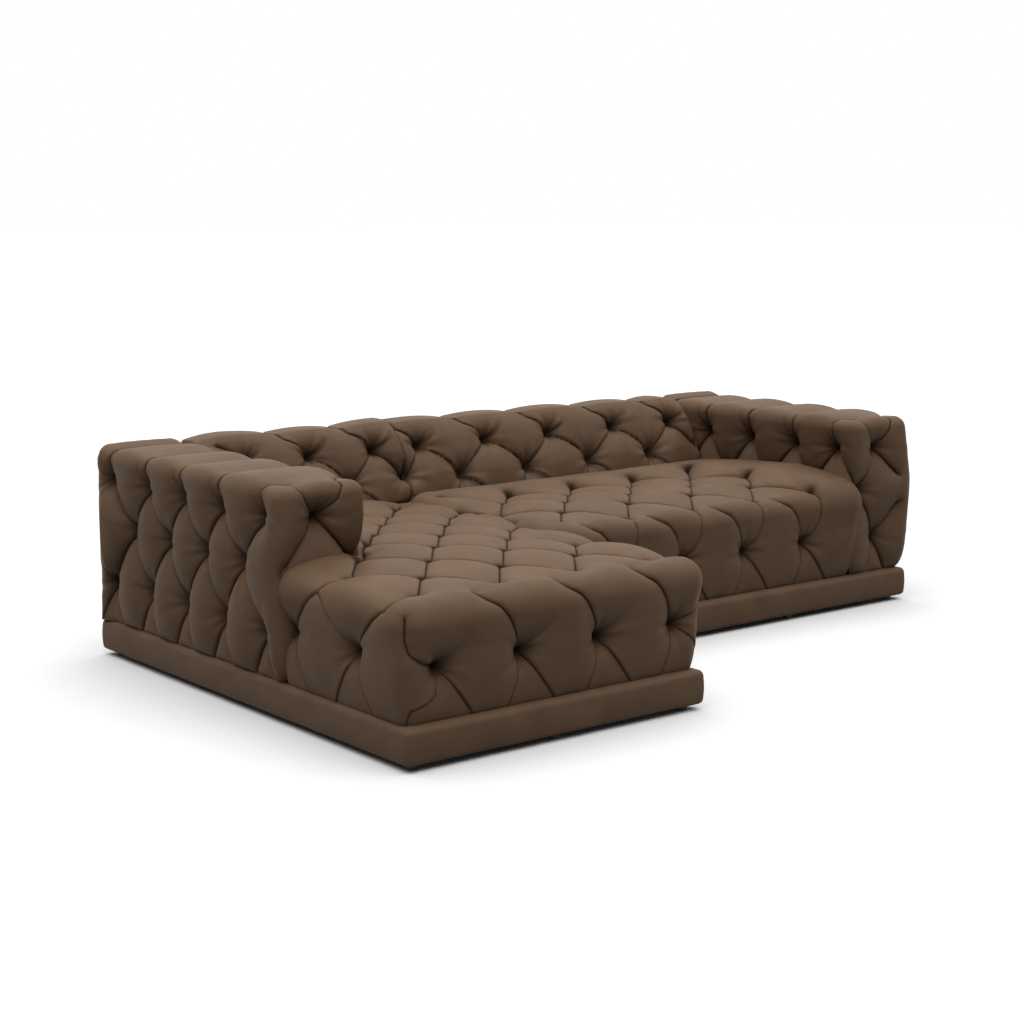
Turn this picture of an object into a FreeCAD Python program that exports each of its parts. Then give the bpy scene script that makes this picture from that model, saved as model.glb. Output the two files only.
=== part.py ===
import FreeCAD, Part
import math
import os

V = FreeCAD.Vector

# Outline of the corner sofa: a chaise unit at the left, a sofa unit at the right, both facing -Y
TOTAL_WIDTH = 2860.0
CHAISE_WIDTH = 1114.0
CHAISE_DEPTH = 1809.0
SOFA_DEPTH = 1103.0
UNIT_GAP = 4.0

# Heights above the floor
SEAT_HEIGHT = 441.0
ARM_HEIGHT = 709.0
BACK_HEIGHT = 736.0

# Arms are upholstered boxes; backs lean back from the seat's height up, by this much at the top
ARM_THICKNESS = 304.0
LEFT_ARM_LENGTH = 1167.0
BACK_THICKNESS = 324.0
BACK_RAKE = 170.0
BODY_INSET = 2.0
SEAT_INSET = 18.0

# Padding: a leather quilt over a foam layer over the timber
QUILT_THICKNESS = 30.0
PADDING_THICKNESS = 44.0
EDGE_RADIUS = 26.0

# Plinth: padded leather band round timber boards, on nail-on glides
PLINTH_HEIGHT = 106.0
WRAP_THICKNESS = 24.0
WRAP_TOP_RADIUS = 20.0
WRAP_CORNER_RADIUS = 14.0
WRAP_BOTTOM_RADIUS = 14.0
BOARD_THICKNESS = 20.0
PLATE_WIDTH = 100.0
PLATE_THICKNESS = 20.0
BEARER_SPACING = 560.0
GLIDE_HEIGHT = 18.0
GLIDE_DIAMETER = 38.0
GLIDE_SPACING = 620.0
GLIDE_EDGE_RADIUS = 2.0
CLOTH_THICKNESS = 1.0
CLOTH_MARGIN = 12.0

# Timber frame above the plinth
RAIL_HEIGHT = 140.0
RAIL_THICKNESS = 25.0
PANEL_THICKNESS = 9.0
POST_WIDTH = 60.0
RIB_THICKNESS = 25.0
POST_SPACING = 430.0
CLEAT_WIDTH = 40.0
CLEAT_HEIGHT = 40.0

# Seat suspension: two crossing layers of elastic webbing under a felt sheet
STRAP_WIDTH = 60.0
STRAP_THICKNESS = 2.0
STRAP_PITCH = 118.0
STRAP_BEARING = 18.0
FELT_THICKNESS = 3.0

# Drop-on connectors between the units
CONNECTOR_LIFT = 60.0
CONNECTOR_SPACING = 400.0
CONNECTOR_FROM_FRONT = 190.0
CONNECTOR_CLEARANCE = 8.0
BLOCK_WIDTH = 120.0
BLOCK_MARGIN = 8.0
BLOCK_SETBACK = 6.0
STEEL_THICKNESS = 2.5
PLATE_LENGTH = 110.0
POCKET_WIDTH = 56.0
POCKET_DEPTH = 40.0
TONGUE_CLEARANCE = 0.5

# Wood screws
SCREW_DIAMETER = 5.0
SCREW_LENGTH = 50.0
SCREW_HEAD_DIAMETER = 10.0
SCREW_HEAD_HEIGHT = 3.0
SCREWS_PER_RAIL = 2
SHORT_SCREW_LENGTH = 28.0
EAR_SCREW_EDGE = 13.0

# Outline planes of the two units
LEFT = -TOTAL_WIDTH / 2
RIGHT = TOTAL_WIDTH / 2
FRONT = -CHAISE_DEPTH / 2
REAR = CHAISE_DEPTH / 2
CHAISE_RIGHT = LEFT + CHAISE_WIDTH
SOFA_LEFT = CHAISE_RIGHT + UNIT_GAP
SOFA_FRONT = REAR - SOFA_DEPTH

# Levels
PLINTH_BOTTOM = GLIDE_HEIGHT + CLOTH_THICKNESS
PLINTH_TOP = PLINTH_BOTTOM + PLINTH_HEIGHT
PLATE_BOTTOM = PLINTH_TOP - PLATE_THICKNESS
RAIL_TOP = PLINTH_TOP + RAIL_HEIGHT
FELT_BOTTOM = RAIL_TOP + 2 * STRAP_THICKNESS
DECK_TOP = FELT_BOTTOM + FELT_THICKNESS

# Padding stack from an upholstered face in to the timber
STACK = QUILT_THICKNESS + PADDING_THICKNESS
POST_THICKNESS = RAIL_THICKNESS - PANEL_THICKNESS
# A cutting tool reaches this far past the face that it cuts
PAST = 1.0


def block(x, y, z):
    """A box between two planes along each axis."""
    corner = V(x[0], y[0], z[0])
    return Part.makeBox(x[1] - x[0], y[1] - y[0], z[1] - z[0], corner)


def inset(span, distance):
    return (span[0] + distance, span[1] - distance)


def edges_where(shape, test):
    """Edges whose middle point passes the test."""
    found = []
    for edge in shape.Edges:
        middle = edge.valueAt((edge.FirstParameter + edge.LastParameter) / 2)
        if test(middle):
            found.append(edge)
    return found


def spread(low, high, spacing):
    """Evenly spaced places from low to high, no further apart than spacing."""
    gaps = max(1, math.ceil((high - low) / spacing))
    return [low + (high - low) * i / gaps for i in range(gaps + 1)]


parts = {}


# Plinth of one unit

def plinth_wrap(x, y):
    """Padded leather band, rounded over at the top, with soft vertical corners."""
    outer = block(x, y, (PLINTH_BOTTOM, PLINTH_TOP))
    between = lambda p: PLINTH_BOTTOM < p.z - PAST and p.z + PAST < PLINTH_TOP
    outer = outer.makeFillet(WRAP_CORNER_RADIUS, edges_where(outer, between))
    outer = outer.makeFillet(WRAP_TOP_RADIUS, edges_where(outer, lambda p: p.z > PLINTH_TOP - PAST))
    outer = outer.makeFillet(WRAP_BOTTOM_RADIUS, edges_where(outer, lambda p: p.z < PLINTH_BOTTOM + PAST))
    opening = block(
        inset(x, WRAP_THICKNESS),
        inset(y, WRAP_THICKNESS),
        (PLINTH_BOTTOM - PAST, PLINTH_TOP + PAST),
    )
    return outer.cut(opening)


def ring(x, y, z, thickness):
    """Four boards round a rectangle: two along Y, and two butted between them."""
    inner_x = inset(x, thickness)
    return [
        block((x[0], inner_x[0]), y, z),
        block((inner_x[1], x[1]), y, z),
        block(inner_x, (y[0], y[0] + thickness), z),
        block(inner_x, (y[1] - thickness, y[1]), z),
    ]


def plinth(unit, x, y):
    parts[unit + "_plinth_wrap"] = [plinth_wrap(x, y)]
    board_x = inset(x, WRAP_THICKNESS)
    board_y = inset(y, WRAP_THICKNESS)
    board_z = (PLINTH_BOTTOM, PLATE_BOTTOM)
    plate_z = (PLATE_BOTTOM, PLINTH_TOP)
    boards = ring(board_x, board_y, board_z, BOARD_THICKNESS)
    plates = ring(board_x, board_y, plate_z, PLATE_WIDTH)
    bearer_x = inset(board_x, BOARD_THICKNESS)
    for centre in spread(board_y[0], board_y[1], BEARER_SPACING)[1:-1]:
        across = (centre - BOARD_THICKNESS / 2, centre + BOARD_THICKNESS / 2)
        boards.append(block(bearer_x, across, board_z))
        flat = (centre - PLATE_WIDTH / 2, centre + PLATE_WIDTH / 2)
        plates.append(block(inset(board_x, PLATE_WIDTH), flat, plate_z))
    parts[unit + "_plinth_boards"] = boards
    parts[unit + "_plinth_top_plates"] = plates

    cloth_z = (GLIDE_HEIGHT, PLINTH_BOTTOM)
    parts[unit + "_bottom_cloth"] = [block(inset(x, CLOTH_MARGIN), inset(y, CLOTH_MARGIN), cloth_z)]
    glide_inset = WRAP_THICKNESS + BOARD_THICKNESS / 2 + GLIDE_DIAMETER / 2
    glides = []
    for at_x in spread(x[0] + glide_inset, x[1] - glide_inset, GLIDE_SPACING):
        for at_y in spread(y[0] + glide_inset, y[1] - glide_inset, GLIDE_SPACING):
            on_edge_x = min(at_x - x[0], x[1] - at_x) < 2 * glide_inset
            on_edge_y = min(at_y - y[0], y[1] - at_y) < 2 * glide_inset
            if on_edge_x or on_edge_y:
                glides.append(glide(at_x, at_y))
    parts[unit + "_glides"] = glides


def glide(at_x, at_y):
    """Low round glide with a rounded foot edge."""
    disc = Part.makeCylinder(GLIDE_DIAMETER / 2, GLIDE_HEIGHT, V(at_x, at_y, 0))
    return disc.makeFillet(GLIDE_EDGE_RADIUS, edges_where(disc, lambda p: p.z < GLIDE_EDGE_RADIUS / 2))


# Arms and backs

def leaning(solid, x, y, top, rake, depth):
    """Cuts a box's front off to the slope that starts at the seat's height, depth below the outer face."""
    if not rake:
        return solid
    rise = top - SEAT_HEIGHT
    length = math.hypot(rake, rise)
    along = V(0, rake / length, rise / length)
    start = V(x[0] - PAST, y[0], SEAT_HEIGHT) + V(0, along.z, -along.y) * depth
    low, high = start - along * length, start + along * 2 * length
    ahead = V(0, -3 * length, 0)
    offcut = Part.Face(Part.makePolygon([low, high, high + ahead, low + ahead, low]))
    return solid.cut(offcut.extrude(V(x[1] - x[0] + 2 * PAST, 0, 0)))


def padded_shell(x, y, top, rake, depth, thickness, down):
    """A cap over a box, one layer of the padding: depth is how far below the outer face it starts.

    The walls named in down reach the plinth, and the others stop on the seat deck."""
    outer = block(inset(x, depth), inset(y, depth), (PLINTH_TOP, top - depth))
    outer = leaning(outer, x, y, top, rake, depth)
    if depth == 0:
        outer = outer.makeFillet(EDGE_RADIUS, edges_where(outer, lambda p: p.z > PLINTH_TOP + PAST))
    within = depth + thickness
    core = block(inset(x, within), inset(y, within), (PLINTH_TOP - PAST, top - within))
    core = leaning(core, x, y, top, rake, within)
    open_x = (
        x[0] + within if "left" in down else x[0] - PAST,
        x[1] - within if "right" in down else x[1] + PAST,
    )
    open_y = (
        y[0] + within if "front" in down else y[0] - PAST,
        y[1] - within if "rear" in down else y[1] + PAST,
    )
    return outer.cut([core, block(open_x, open_y, (PLINTH_TOP - PAST, DECK_TOP))])


def upholstery(name, x, y, top, rake, down):
    """Cover and padding of one arm or back."""
    parts[name + "_cover"] = [padded_shell(x, y, top, rake, 0, QUILT_THICKNESS, down)]
    parts[name + "_padding"] = [padded_shell(x, y, top, rake, QUILT_THICKNESS, PADDING_THICKNESS, down)]


def arm(name, x, y, down):
    """An arm: plywood box on posts, standing on the base rails."""
    upholstery(name, x, y, ARM_HEIGHT, 0, down)
    core_x = inset(x, STACK)
    core_y = inset(y, STACK)
    core_top = ARM_HEIGHT - STACK
    wall_z = (RAIL_TOP, core_top - PANEL_THICKNESS)
    panels = ring(core_x, core_y, wall_z, PANEL_THICKNESS)
    panels.append(block(core_x, core_y, (wall_z[1], core_top)))
    parts[name + "_panels"] = panels

    posts = []
    room_x = inset(core_x, PANEL_THICKNESS)
    room_y = inset(core_y, PANEL_THICKNESS)
    for start in spread(room_y[0], room_y[1] - POST_WIDTH, POST_SPACING):
        wide = (start, start + POST_WIDTH)
        posts.append(block((room_x[0], room_x[0] + POST_THICKNESS), wide, wall_z))
        posts.append(block((room_x[1] - POST_THICKNESS, room_x[1]), wide, wall_z))
    parts[name + "_posts"] = posts


def back(name, x, down):
    """A back: ribs sawn to its leaning profile, faced with plywood in front, at the ends, behind and on top."""
    y, top, rake = BACK_Y, BACK_HEIGHT, BACK_RAKE
    upholstery(name, x, y, top, rake, down)
    core_x = inset(x, STACK)
    core_y = inset(y, STACK)
    core_top = top - STACK
    wall_z = (RAIL_TOP, core_top - PANEL_THICKNESS)
    room_x = inset(core_x, PANEL_THICKNESS)
    room_y = inset(core_y, PANEL_THICKNESS)
    room_depth = STACK + PANEL_THICKNESS

    faced = leaning(block(room_x, core_y, wall_z), x, y, top, rake, STACK)
    room = leaning(block(room_x, room_y, wall_z), x, y, top, rake, room_depth)
    front_and_rear = faced.cut(room).Solids
    ends = [block((core_x[0], room_x[0]), core_y, wall_z), block((room_x[1], core_x[1]), core_y, wall_z)]
    ends = [leaning(end, x, y, top, rake, STACK) for end in ends]
    lid = leaning(block(core_x, core_y, (wall_z[1], core_top)), x, y, top, rake, STACK)
    parts[name + "_panels"] = front_and_rear + ends + [lid]

    ribs = []
    for start in spread(room_x[0], room_x[1] - RIB_THICKNESS, POST_SPACING):
        rib = block((start, start + RIB_THICKNESS), room_y, wall_z)
        ribs.append(leaning(rib, x, y, top, rake, room_depth))
    parts[name + "_posts"] = ribs


# Seats

def seat_layer(areas, z):
    """A slab over one or two joined rectangles, as one solid."""
    slabs = [block(x, y, z) for x, y in areas]
    joined = slabs[0]
    for slab in slabs[1:]:
        joined = joined.fuse(slab)
    return joined.removeSplitter()


def seat_cover(areas, cavities, walls):
    """Quilt over the seat with walls down to the plinth; walls tests the edges that show and are rounded."""
    outer = seat_layer(areas, (PLINTH_TOP, SEAT_HEIGHT))
    outer = outer.makeFillet(EDGE_RADIUS, edges_where(outer, walls))
    return outer.cut(seat_layer(cavities, (PLINTH_TOP - PAST, SEAT_HEIGHT - QUILT_THICKNESS)))


def straps(name, spans, z, along_x):
    """Webbing straps: each span is (start, end, low, high), laid at even pitch between low and high."""
    made = []
    for start, end, low, high in spans:
        count = max(1, int((high - low - STRAP_WIDTH) // STRAP_PITCH) + 1)
        margin = (high - low - STRAP_WIDTH - STRAP_PITCH * (count - 1)) / 2
        for i in range(count):
            edge = low + margin + i * STRAP_PITCH
            across = (edge, edge + STRAP_WIDTH)
            made.append(block((start, end), across, z) if along_x else block(across, (start, end), z))
    parts[name] = made


CROSS_Z = (RAIL_TOP, RAIL_TOP + STRAP_THICKNESS)
LONG_Z = (CROSS_Z[1], FELT_BOTTOM)
RAIL_Z = (PLINTH_TOP, RAIL_TOP)
CLEAT_Z = (RAIL_TOP - CLEAT_HEIGHT, RAIL_TOP)
FOAM_Z = (DECK_TOP, SEAT_HEIGHT - QUILT_THICKNESS)
SKIRT_Z = (PLINTH_TOP, DECK_TOP)


# Chaise unit: the arm stands behind the front part of the seat, which takes the unit's full width

CHAISE_X = (LEFT + BODY_INSET, CHAISE_RIGHT - BODY_INSET)
CHAISE_Y = (FRONT + SEAT_INSET, REAR - BODY_INSET)
LEFT_ARM_X = (CHAISE_X[0], CHAISE_X[0] + ARM_THICKNESS)
LEFT_ARM_Y = (CHAISE_Y[1] - LEFT_ARM_LENGTH, CHAISE_Y[1])
CHAISE_BACK_X = (LEFT_ARM_X[1], CHAISE_X[1])
BACK_Y = (CHAISE_Y[1] - BACK_THICKNESS, CHAISE_Y[1])

plinth("chaise", (LEFT, CHAISE_RIGHT), (FRONT, REAR))
arm("left_arm", LEFT_ARM_X, LEFT_ARM_Y, ("left", "rear"))
back("chaise_back", CHAISE_BACK_X, ("right", "rear"))

chaise_frame_x = inset(CHAISE_X, STACK)
chaise_frame_y = inset(CHAISE_Y, STACK)
chaise_room_x = inset(chaise_frame_x, RAIL_THICKNESS)
chaise_room_y = inset(chaise_frame_y, RAIL_THICKNESS)
arm_front_rail_y = (LEFT_ARM_Y[0] + STACK, LEFT_ARM_Y[0] + STACK + RAIL_THICKNESS)
left_arm_rail_x = (LEFT_ARM_X[1] - STACK - RAIL_THICKNESS, LEFT_ARM_X[1] - STACK)
back_rail_y = (BACK_Y[0] + STACK, BACK_Y[0] + STACK + RAIL_THICKNESS)
chaise_rails = ring(chaise_frame_x, chaise_frame_y, RAIL_Z, RAIL_THICKNESS)
chaise_rails.append(block(chaise_room_x, arm_front_rail_y, RAIL_Z))
chaise_rails.append(block(left_arm_rail_x, (arm_front_rail_y[1], chaise_room_y[1]), RAIL_Z))
chaise_rails.append(block((left_arm_rail_x[1], chaise_room_x[1]), back_rail_y, RAIL_Z))

left_cleat_x = (left_arm_rail_x[1], left_arm_rail_x[1] + CLEAT_WIDTH)
arm_front_cleat_y = (arm_front_rail_y[0] - CLEAT_WIDTH, arm_front_rail_y[0])
back_cleat_y = (back_rail_y[0] - CLEAT_WIDTH, back_rail_y[0])
parts["chaise_seat_cleats"] = [
    block((chaise_room_x[0], left_arm_rail_x[1]), arm_front_cleat_y, CLEAT_Z),
    block(left_cleat_x, (arm_front_rail_y[1], back_rail_y[0]), CLEAT_Z),
    block((left_cleat_x[1], chaise_room_x[1]), back_cleat_y, CLEAT_Z),
]

strap_left = chaise_room_x[0] - STRAP_BEARING
strap_right = chaise_room_x[1] + STRAP_BEARING
strap_front = chaise_room_y[0] - STRAP_BEARING
arm_strap_start = left_cleat_x[1] - STRAP_BEARING
arm_strap_rear = arm_front_cleat_y[0] + STRAP_BEARING
back_strap_rear = back_cleat_y[0] + STRAP_BEARING
straps(
    "chaise_cross_webbing",
    [
        (strap_left, strap_right, chaise_room_y[0], arm_front_cleat_y[0]),
        (arm_strap_start, strap_right, arm_front_rail_y[1], back_cleat_y[0]),
    ],
    CROSS_Z,
    True,
)
straps(
    "chaise_long_webbing",
    [
        (strap_front, arm_strap_rear, chaise_room_x[0], left_arm_rail_x[0]),
        (strap_front, back_strap_rear, left_cleat_x[1], chaise_room_x[1]),
    ],
    LONG_Z,
    False,
)
parts["chaise_seat_felt"] = [
    seat_layer(
        [
            (chaise_frame_x, (chaise_frame_y[0], arm_front_rail_y[0])),
            ((left_arm_rail_x[1], chaise_frame_x[1]), (chaise_frame_y[0], back_rail_y[0])),
        ],
        (FELT_BOTTOM, DECK_TOP),
    )
]

quilt_x = inset(CHAISE_X, QUILT_THICKNESS)
quilt_front = CHAISE_Y[0] + QUILT_THICKNESS
chaise_cavity = [
    (quilt_x, (quilt_front, LEFT_ARM_Y[0])),
    ((LEFT_ARM_X[1], quilt_x[1]), (quilt_front, BACK_Y[0])),
]
chaise_foam = seat_layer(chaise_cavity, FOAM_Z)
chaise_skirts = [
    block(quilt_x, (quilt_front, chaise_frame_y[0]), SKIRT_Z),
    block((quilt_x[0], chaise_frame_x[0]), (quilt_front, LEFT_ARM_Y[0]), SKIRT_Z),
    block((chaise_frame_x[1], quilt_x[1]), (quilt_front, BACK_Y[0]), SKIRT_Z),
]
chaise_foam = chaise_foam.fuse(chaise_skirts).removeSplitter()


def chaise_edge_shows(p):
    """Rounded edges: the front corners, and the top edges at the front, the right and the left in front of the arm."""
    on_top = p.z > SEAT_HEIGHT - PAST
    in_front = p.y < CHAISE_Y[0] + PAST
    at_left = p.x < CHAISE_X[0] + PAST
    at_right = p.x > CHAISE_X[1] - PAST
    upright = PLINTH_TOP + PAST < p.z < SEAT_HEIGHT - PAST
    return (on_top and (in_front or at_left or at_right)) or (upright and in_front)


chaise_cover = seat_cover(
    [
        (CHAISE_X, (CHAISE_Y[0], LEFT_ARM_Y[0])),
        ((LEFT_ARM_X[1], CHAISE_X[1]), (CHAISE_Y[0], BACK_Y[0])),
    ],
    chaise_cavity,
    chaise_edge_shows,
)


# Sofa unit: seat between the chaise and the right arm

SOFA_X = (SOFA_LEFT + BODY_INSET, RIGHT - BODY_INSET)
SOFA_Y = (SOFA_FRONT + SEAT_INSET, REAR - BODY_INSET)
RIGHT_ARM_X = (SOFA_X[1] - ARM_THICKNESS, SOFA_X[1])
SOFA_SEAT_X = (SOFA_X[0], RIGHT_ARM_X[0])

plinth("sofa", (SOFA_LEFT, RIGHT), (SOFA_FRONT, REAR))
arm("right_arm", RIGHT_ARM_X, SOFA_Y, ("right", "front", "rear"))
back("sofa_back", SOFA_SEAT_X, ("left", "rear"))

sofa_frame_x = inset(SOFA_X, STACK)
sofa_frame_y = inset(SOFA_Y, STACK)
sofa_room_x = inset(sofa_frame_x, RAIL_THICKNESS)
sofa_room_y = inset(sofa_frame_y, RAIL_THICKNESS)
right_arm_rail_x = (RIGHT_ARM_X[0] + STACK, RIGHT_ARM_X[0] + STACK + RAIL_THICKNESS)
sofa_rails = ring(sofa_frame_x, sofa_frame_y, RAIL_Z, RAIL_THICKNESS)
sofa_rails.append(block(right_arm_rail_x, sofa_room_y, RAIL_Z))
sofa_rails.append(block((sofa_room_x[0], right_arm_rail_x[0]), back_rail_y, RAIL_Z))

right_cleat_x = (right_arm_rail_x[0] - CLEAT_WIDTH, right_arm_rail_x[0])
parts["sofa_seat_cleats"] = [
    block(right_cleat_x, (sofa_room_y[0], back_rail_y[0]), CLEAT_Z),
    block((sofa_room_x[0], right_cleat_x[0]), back_cleat_y, CLEAT_Z),
]
sofa_strap_left = sofa_room_x[0] - STRAP_BEARING
sofa_strap_right = right_cleat_x[0] + STRAP_BEARING
sofa_strap_front = sofa_room_y[0] - STRAP_BEARING
straps(
    "sofa_cross_webbing",
    [(sofa_strap_left, sofa_strap_right, sofa_room_y[0], back_cleat_y[0])],
    CROSS_Z,
    True,
)
straps(
    "sofa_long_webbing",
    [(sofa_strap_front, back_strap_rear, sofa_room_x[0], right_cleat_x[0])],
    LONG_Z,
    False,
)
sofa_felt_x = (sofa_frame_x[0], right_arm_rail_x[0])
parts["sofa_seat_felt"] = [block(sofa_felt_x, (sofa_frame_y[0], back_rail_y[0]), (FELT_BOTTOM, DECK_TOP))]

sofa_quilt_left = SOFA_X[0] + QUILT_THICKNESS
sofa_quilt_front = SOFA_Y[0] + QUILT_THICKNESS
sofa_cavity = [((sofa_quilt_left, RIGHT_ARM_X[0]), (sofa_quilt_front, BACK_Y[0]))]
sofa_foam = seat_layer(sofa_cavity, FOAM_Z)
sofa_skirts = [
    block((sofa_quilt_left, RIGHT_ARM_X[0]), (sofa_quilt_front, sofa_frame_y[0]), SKIRT_Z),
    block((sofa_quilt_left, sofa_frame_x[0]), (sofa_quilt_front, BACK_Y[0]), SKIRT_Z),
]
sofa_foam = sofa_foam.fuse(sofa_skirts).removeSplitter()


def sofa_edge_shows(p):
    """Rounded edges: the top edges at the front and along the chaise, and the corner between them."""
    on_top = p.z > SEAT_HEIGHT - PAST
    in_front = p.y < SOFA_Y[0] + PAST
    at_left = p.x < SOFA_X[0] + PAST
    upright = PLINTH_TOP + PAST < p.z < SEAT_HEIGHT - PAST
    return (on_top and (in_front or at_left)) or (upright and in_front and at_left)


sofa_cover = seat_cover([(SOFA_SEAT_X, (SOFA_Y[0], BACK_Y[0]))], sofa_cavity, sofa_edge_shows)


# Connectors: a hook plate on the sofa unit drops into a socket plate on the chaise unit

BLOCK_Z = (PLINTH_TOP + BLOCK_MARGIN, RAIL_TOP - BLOCK_MARGIN)
socket_face = CHAISE_X[1] - BLOCK_SETBACK
hook_face = SOFA_X[0] + BLOCK_SETBACK
POCKET_THICKNESS = STEEL_THICKNESS + 2 * TONGUE_CLEARANCE
POCKET_Z = (BLOCK_Z[0] + CONNECTOR_CLEARANCE, BLOCK_Z[0] + CONNECTOR_CLEARANCE + POCKET_DEPTH)
HOOK_STEP_Z = (POCKET_Z[1] + TONGUE_CLEARANCE, POCKET_Z[1] + TONGUE_CLEARANCE + STEEL_THICKNESS)
HOOK_TOP = BLOCK_Z[1]


def screw(at, direction, length):
    """Wood screw with a flat round head: at is the seat under the head, direction the way it goes in."""
    shank = Part.makeCylinder(SCREW_DIAMETER / 2, length, at, direction)
    head_start = at - direction * SCREW_HEAD_HEIGHT
    head = Part.makeCylinder(SCREW_HEAD_DIAMETER / 2, SCREW_HEAD_HEIGHT, head_start, direction)
    return head.fuse(shank)


def socket_plate(at_y):
    """Pressed plate with a bridge across its middle that leaves a pocket open at the top."""
    face = socket_face
    pocket_x = (face + STEEL_THICKNESS, face + STEEL_THICKNESS + POCKET_THICKNESS)
    half = PLATE_LENGTH / 2
    cheek = POCKET_WIDTH / 2 + STEEL_THICKNESS
    base = block((face, pocket_x[0]), (at_y - half, at_y + half), POCKET_Z)
    bridge = block((face, pocket_x[1] + STEEL_THICKNESS), (at_y - cheek, at_y + cheek), POCKET_Z)
    pocket_y = (at_y - POCKET_WIDTH / 2, at_y + POCKET_WIDTH / 2)
    pocket = block(pocket_x, pocket_y, (POCKET_Z[0] + STEEL_THICKNESS, POCKET_Z[1] + PAST))
    return base.fuse(bridge).removeSplitter().cut(pocket)


def hook_plate(at_y):
    """Plate with a step out to a tongue that hangs in the socket's pocket."""
    tongue_x = socket_face + STEEL_THICKNESS + TONGUE_CLEARANCE
    tongue_low = POCKET_Z[0] + STEEL_THICKNESS + TONGUE_CLEARANCE
    outline = [
        V(hook_face, 0, HOOK_TOP),
        V(hook_face, 0, HOOK_STEP_Z[0]),
        V(tongue_x + STEEL_THICKNESS, 0, HOOK_STEP_Z[0]),
        V(tongue_x + STEEL_THICKNESS, 0, tongue_low),
        V(tongue_x, 0, tongue_low),
        V(tongue_x, 0, HOOK_STEP_Z[1]),
        V(hook_face - STEEL_THICKNESS, 0, HOOK_STEP_Z[1]),
        V(hook_face - STEEL_THICKNESS, 0, HOOK_TOP),
    ]
    width = POCKET_WIDTH - 2 * TONGUE_CLEARANCE
    profile = Part.Face(Part.makePolygon(outline + outline[:1]))
    hook = profile.extrude(V(0, width, 0))
    hook.translate(V(0, at_y - width / 2, 0))
    ears_y = (at_y - PLATE_LENGTH / 2, at_y + PLATE_LENGTH / 2)
    ears = block((hook_face - STEEL_THICKNESS, hook_face), ears_y, (HOOK_STEP_Z[1], HOOK_TOP))
    return hook.fuse(ears).removeSplitter()


connector_places = [SOFA_Y[0] + CONNECTOR_FROM_FRONT, SOFA_Y[0] + CONNECTOR_FROM_FRONT + CONNECTOR_SPACING]
chaise_blocks, sofa_blocks = [], []
sockets, hooks = [], []
chaise_screws, sofa_screws = [], []
INTO_CHAISE, INTO_SOFA, UP = V(-1, 0, 0), V(1, 0, 0), V(0, 0, 1)
for at_y in connector_places:
    wide = (at_y - BLOCK_WIDTH / 2, at_y + BLOCK_WIDTH / 2)
    chaise_blocks.append(block((chaise_frame_x[1], socket_face), wide, BLOCK_Z))
    sofa_blocks.append(block((hook_face, sofa_frame_x[0]), wide, BLOCK_Z))
    sockets.append(socket_plate(at_y))
    hooks.append(hook_plate(at_y))
    for side in (-1, 1):
        ear_y = at_y + side * (PLATE_LENGTH / 2 - EAR_SCREW_EDGE)
        socket_seat = V(socket_face + STEEL_THICKNESS, ear_y, sum(POCKET_Z) / 2)
        hook_seat = V(hook_face - STEEL_THICKNESS, ear_y, (HOOK_STEP_Z[1] + HOOK_TOP) / 2)
        chaise_screws.append(screw(socket_seat, INTO_CHAISE, SHORT_SCREW_LENGTH))
        sofa_screws.append(screw(hook_seat, INTO_SOFA, SHORT_SCREW_LENGTH))

# The covers and skirts of the meeting sides are left open where the connectors rise and fall
window_y = (
    connector_places[0] - BLOCK_WIDTH / 2 - CONNECTOR_CLEARANCE,
    connector_places[-1] + BLOCK_WIDTH / 2 + CONNECTOR_CLEARANCE,
)
window_z = (PLINTH_TOP - PAST, HOOK_TOP + CONNECTOR_LIFT + CONNECTOR_CLEARANCE)
skirt_window_z = (PLINTH_TOP - PAST, DECK_TOP)
chaise_window_x = (chaise_frame_x[1], CHAISE_X[1] + PAST)
sofa_window_x = (SOFA_X[0] - PAST, sofa_frame_x[0])
quilt_only_chaise = (quilt_x[1], CHAISE_X[1] + PAST)
quilt_only_sofa = (SOFA_X[0] - PAST, sofa_quilt_left)
parts["chaise_seat_foam"] = [chaise_foam.cut(block(chaise_window_x, window_y, skirt_window_z))]
parts["sofa_seat_foam"] = [sofa_foam.cut(block(sofa_window_x, window_y, skirt_window_z))]
parts["chaise_seat_cover"] = [chaise_cover.cut(block(quilt_only_chaise, window_y, window_z))]
parts["sofa_seat_cover"] = [sofa_cover.cut(block(quilt_only_sofa, window_y, window_z))]
parts["chaise_connector_blocks"] = [b.cut(chaise_screws) for b in chaise_blocks]
parts["sofa_connector_blocks"] = [b.cut(sofa_screws) for b in sofa_blocks]
parts["chaise_connector_sockets"] = [s.cut(chaise_screws) for s in sockets]
parts["sofa_connector_hooks"] = [h.cut(sofa_screws) for h in hooks]
parts["chaise_connector_screws"] = chaise_screws
parts["sofa_connector_screws"] = sofa_screws


# Screws up through the plinth's top plates into the long base rails

def hold_down(unit, rails, frame_x, room_y):
    screws = []
    for at_x in (frame_x[0] + RAIL_THICKNESS / 2, frame_x[1] - RAIL_THICKNESS / 2):
        for i in range(SCREWS_PER_RAIL):
            at_y = room_y[0] + (room_y[1] - room_y[0]) * (i + 0.5) / SCREWS_PER_RAIL
            screws.append(screw(V(at_x, at_y, PLATE_BOTTOM), UP, SCREW_LENGTH))
    parts[unit + "_plinth_screws"] = screws
    parts[unit + "_base_rails"] = [rail.cut(screws) for rail in rails]
    plates = parts[unit + "_plinth_top_plates"]
    parts[unit + "_plinth_top_plates"] = [plate.cut(screws) for plate in plates]


hold_down("chaise", chaise_rails, chaise_frame_x, chaise_room_y)
hold_down("sofa", sofa_rails, sofa_frame_x, sofa_room_y)

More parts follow.
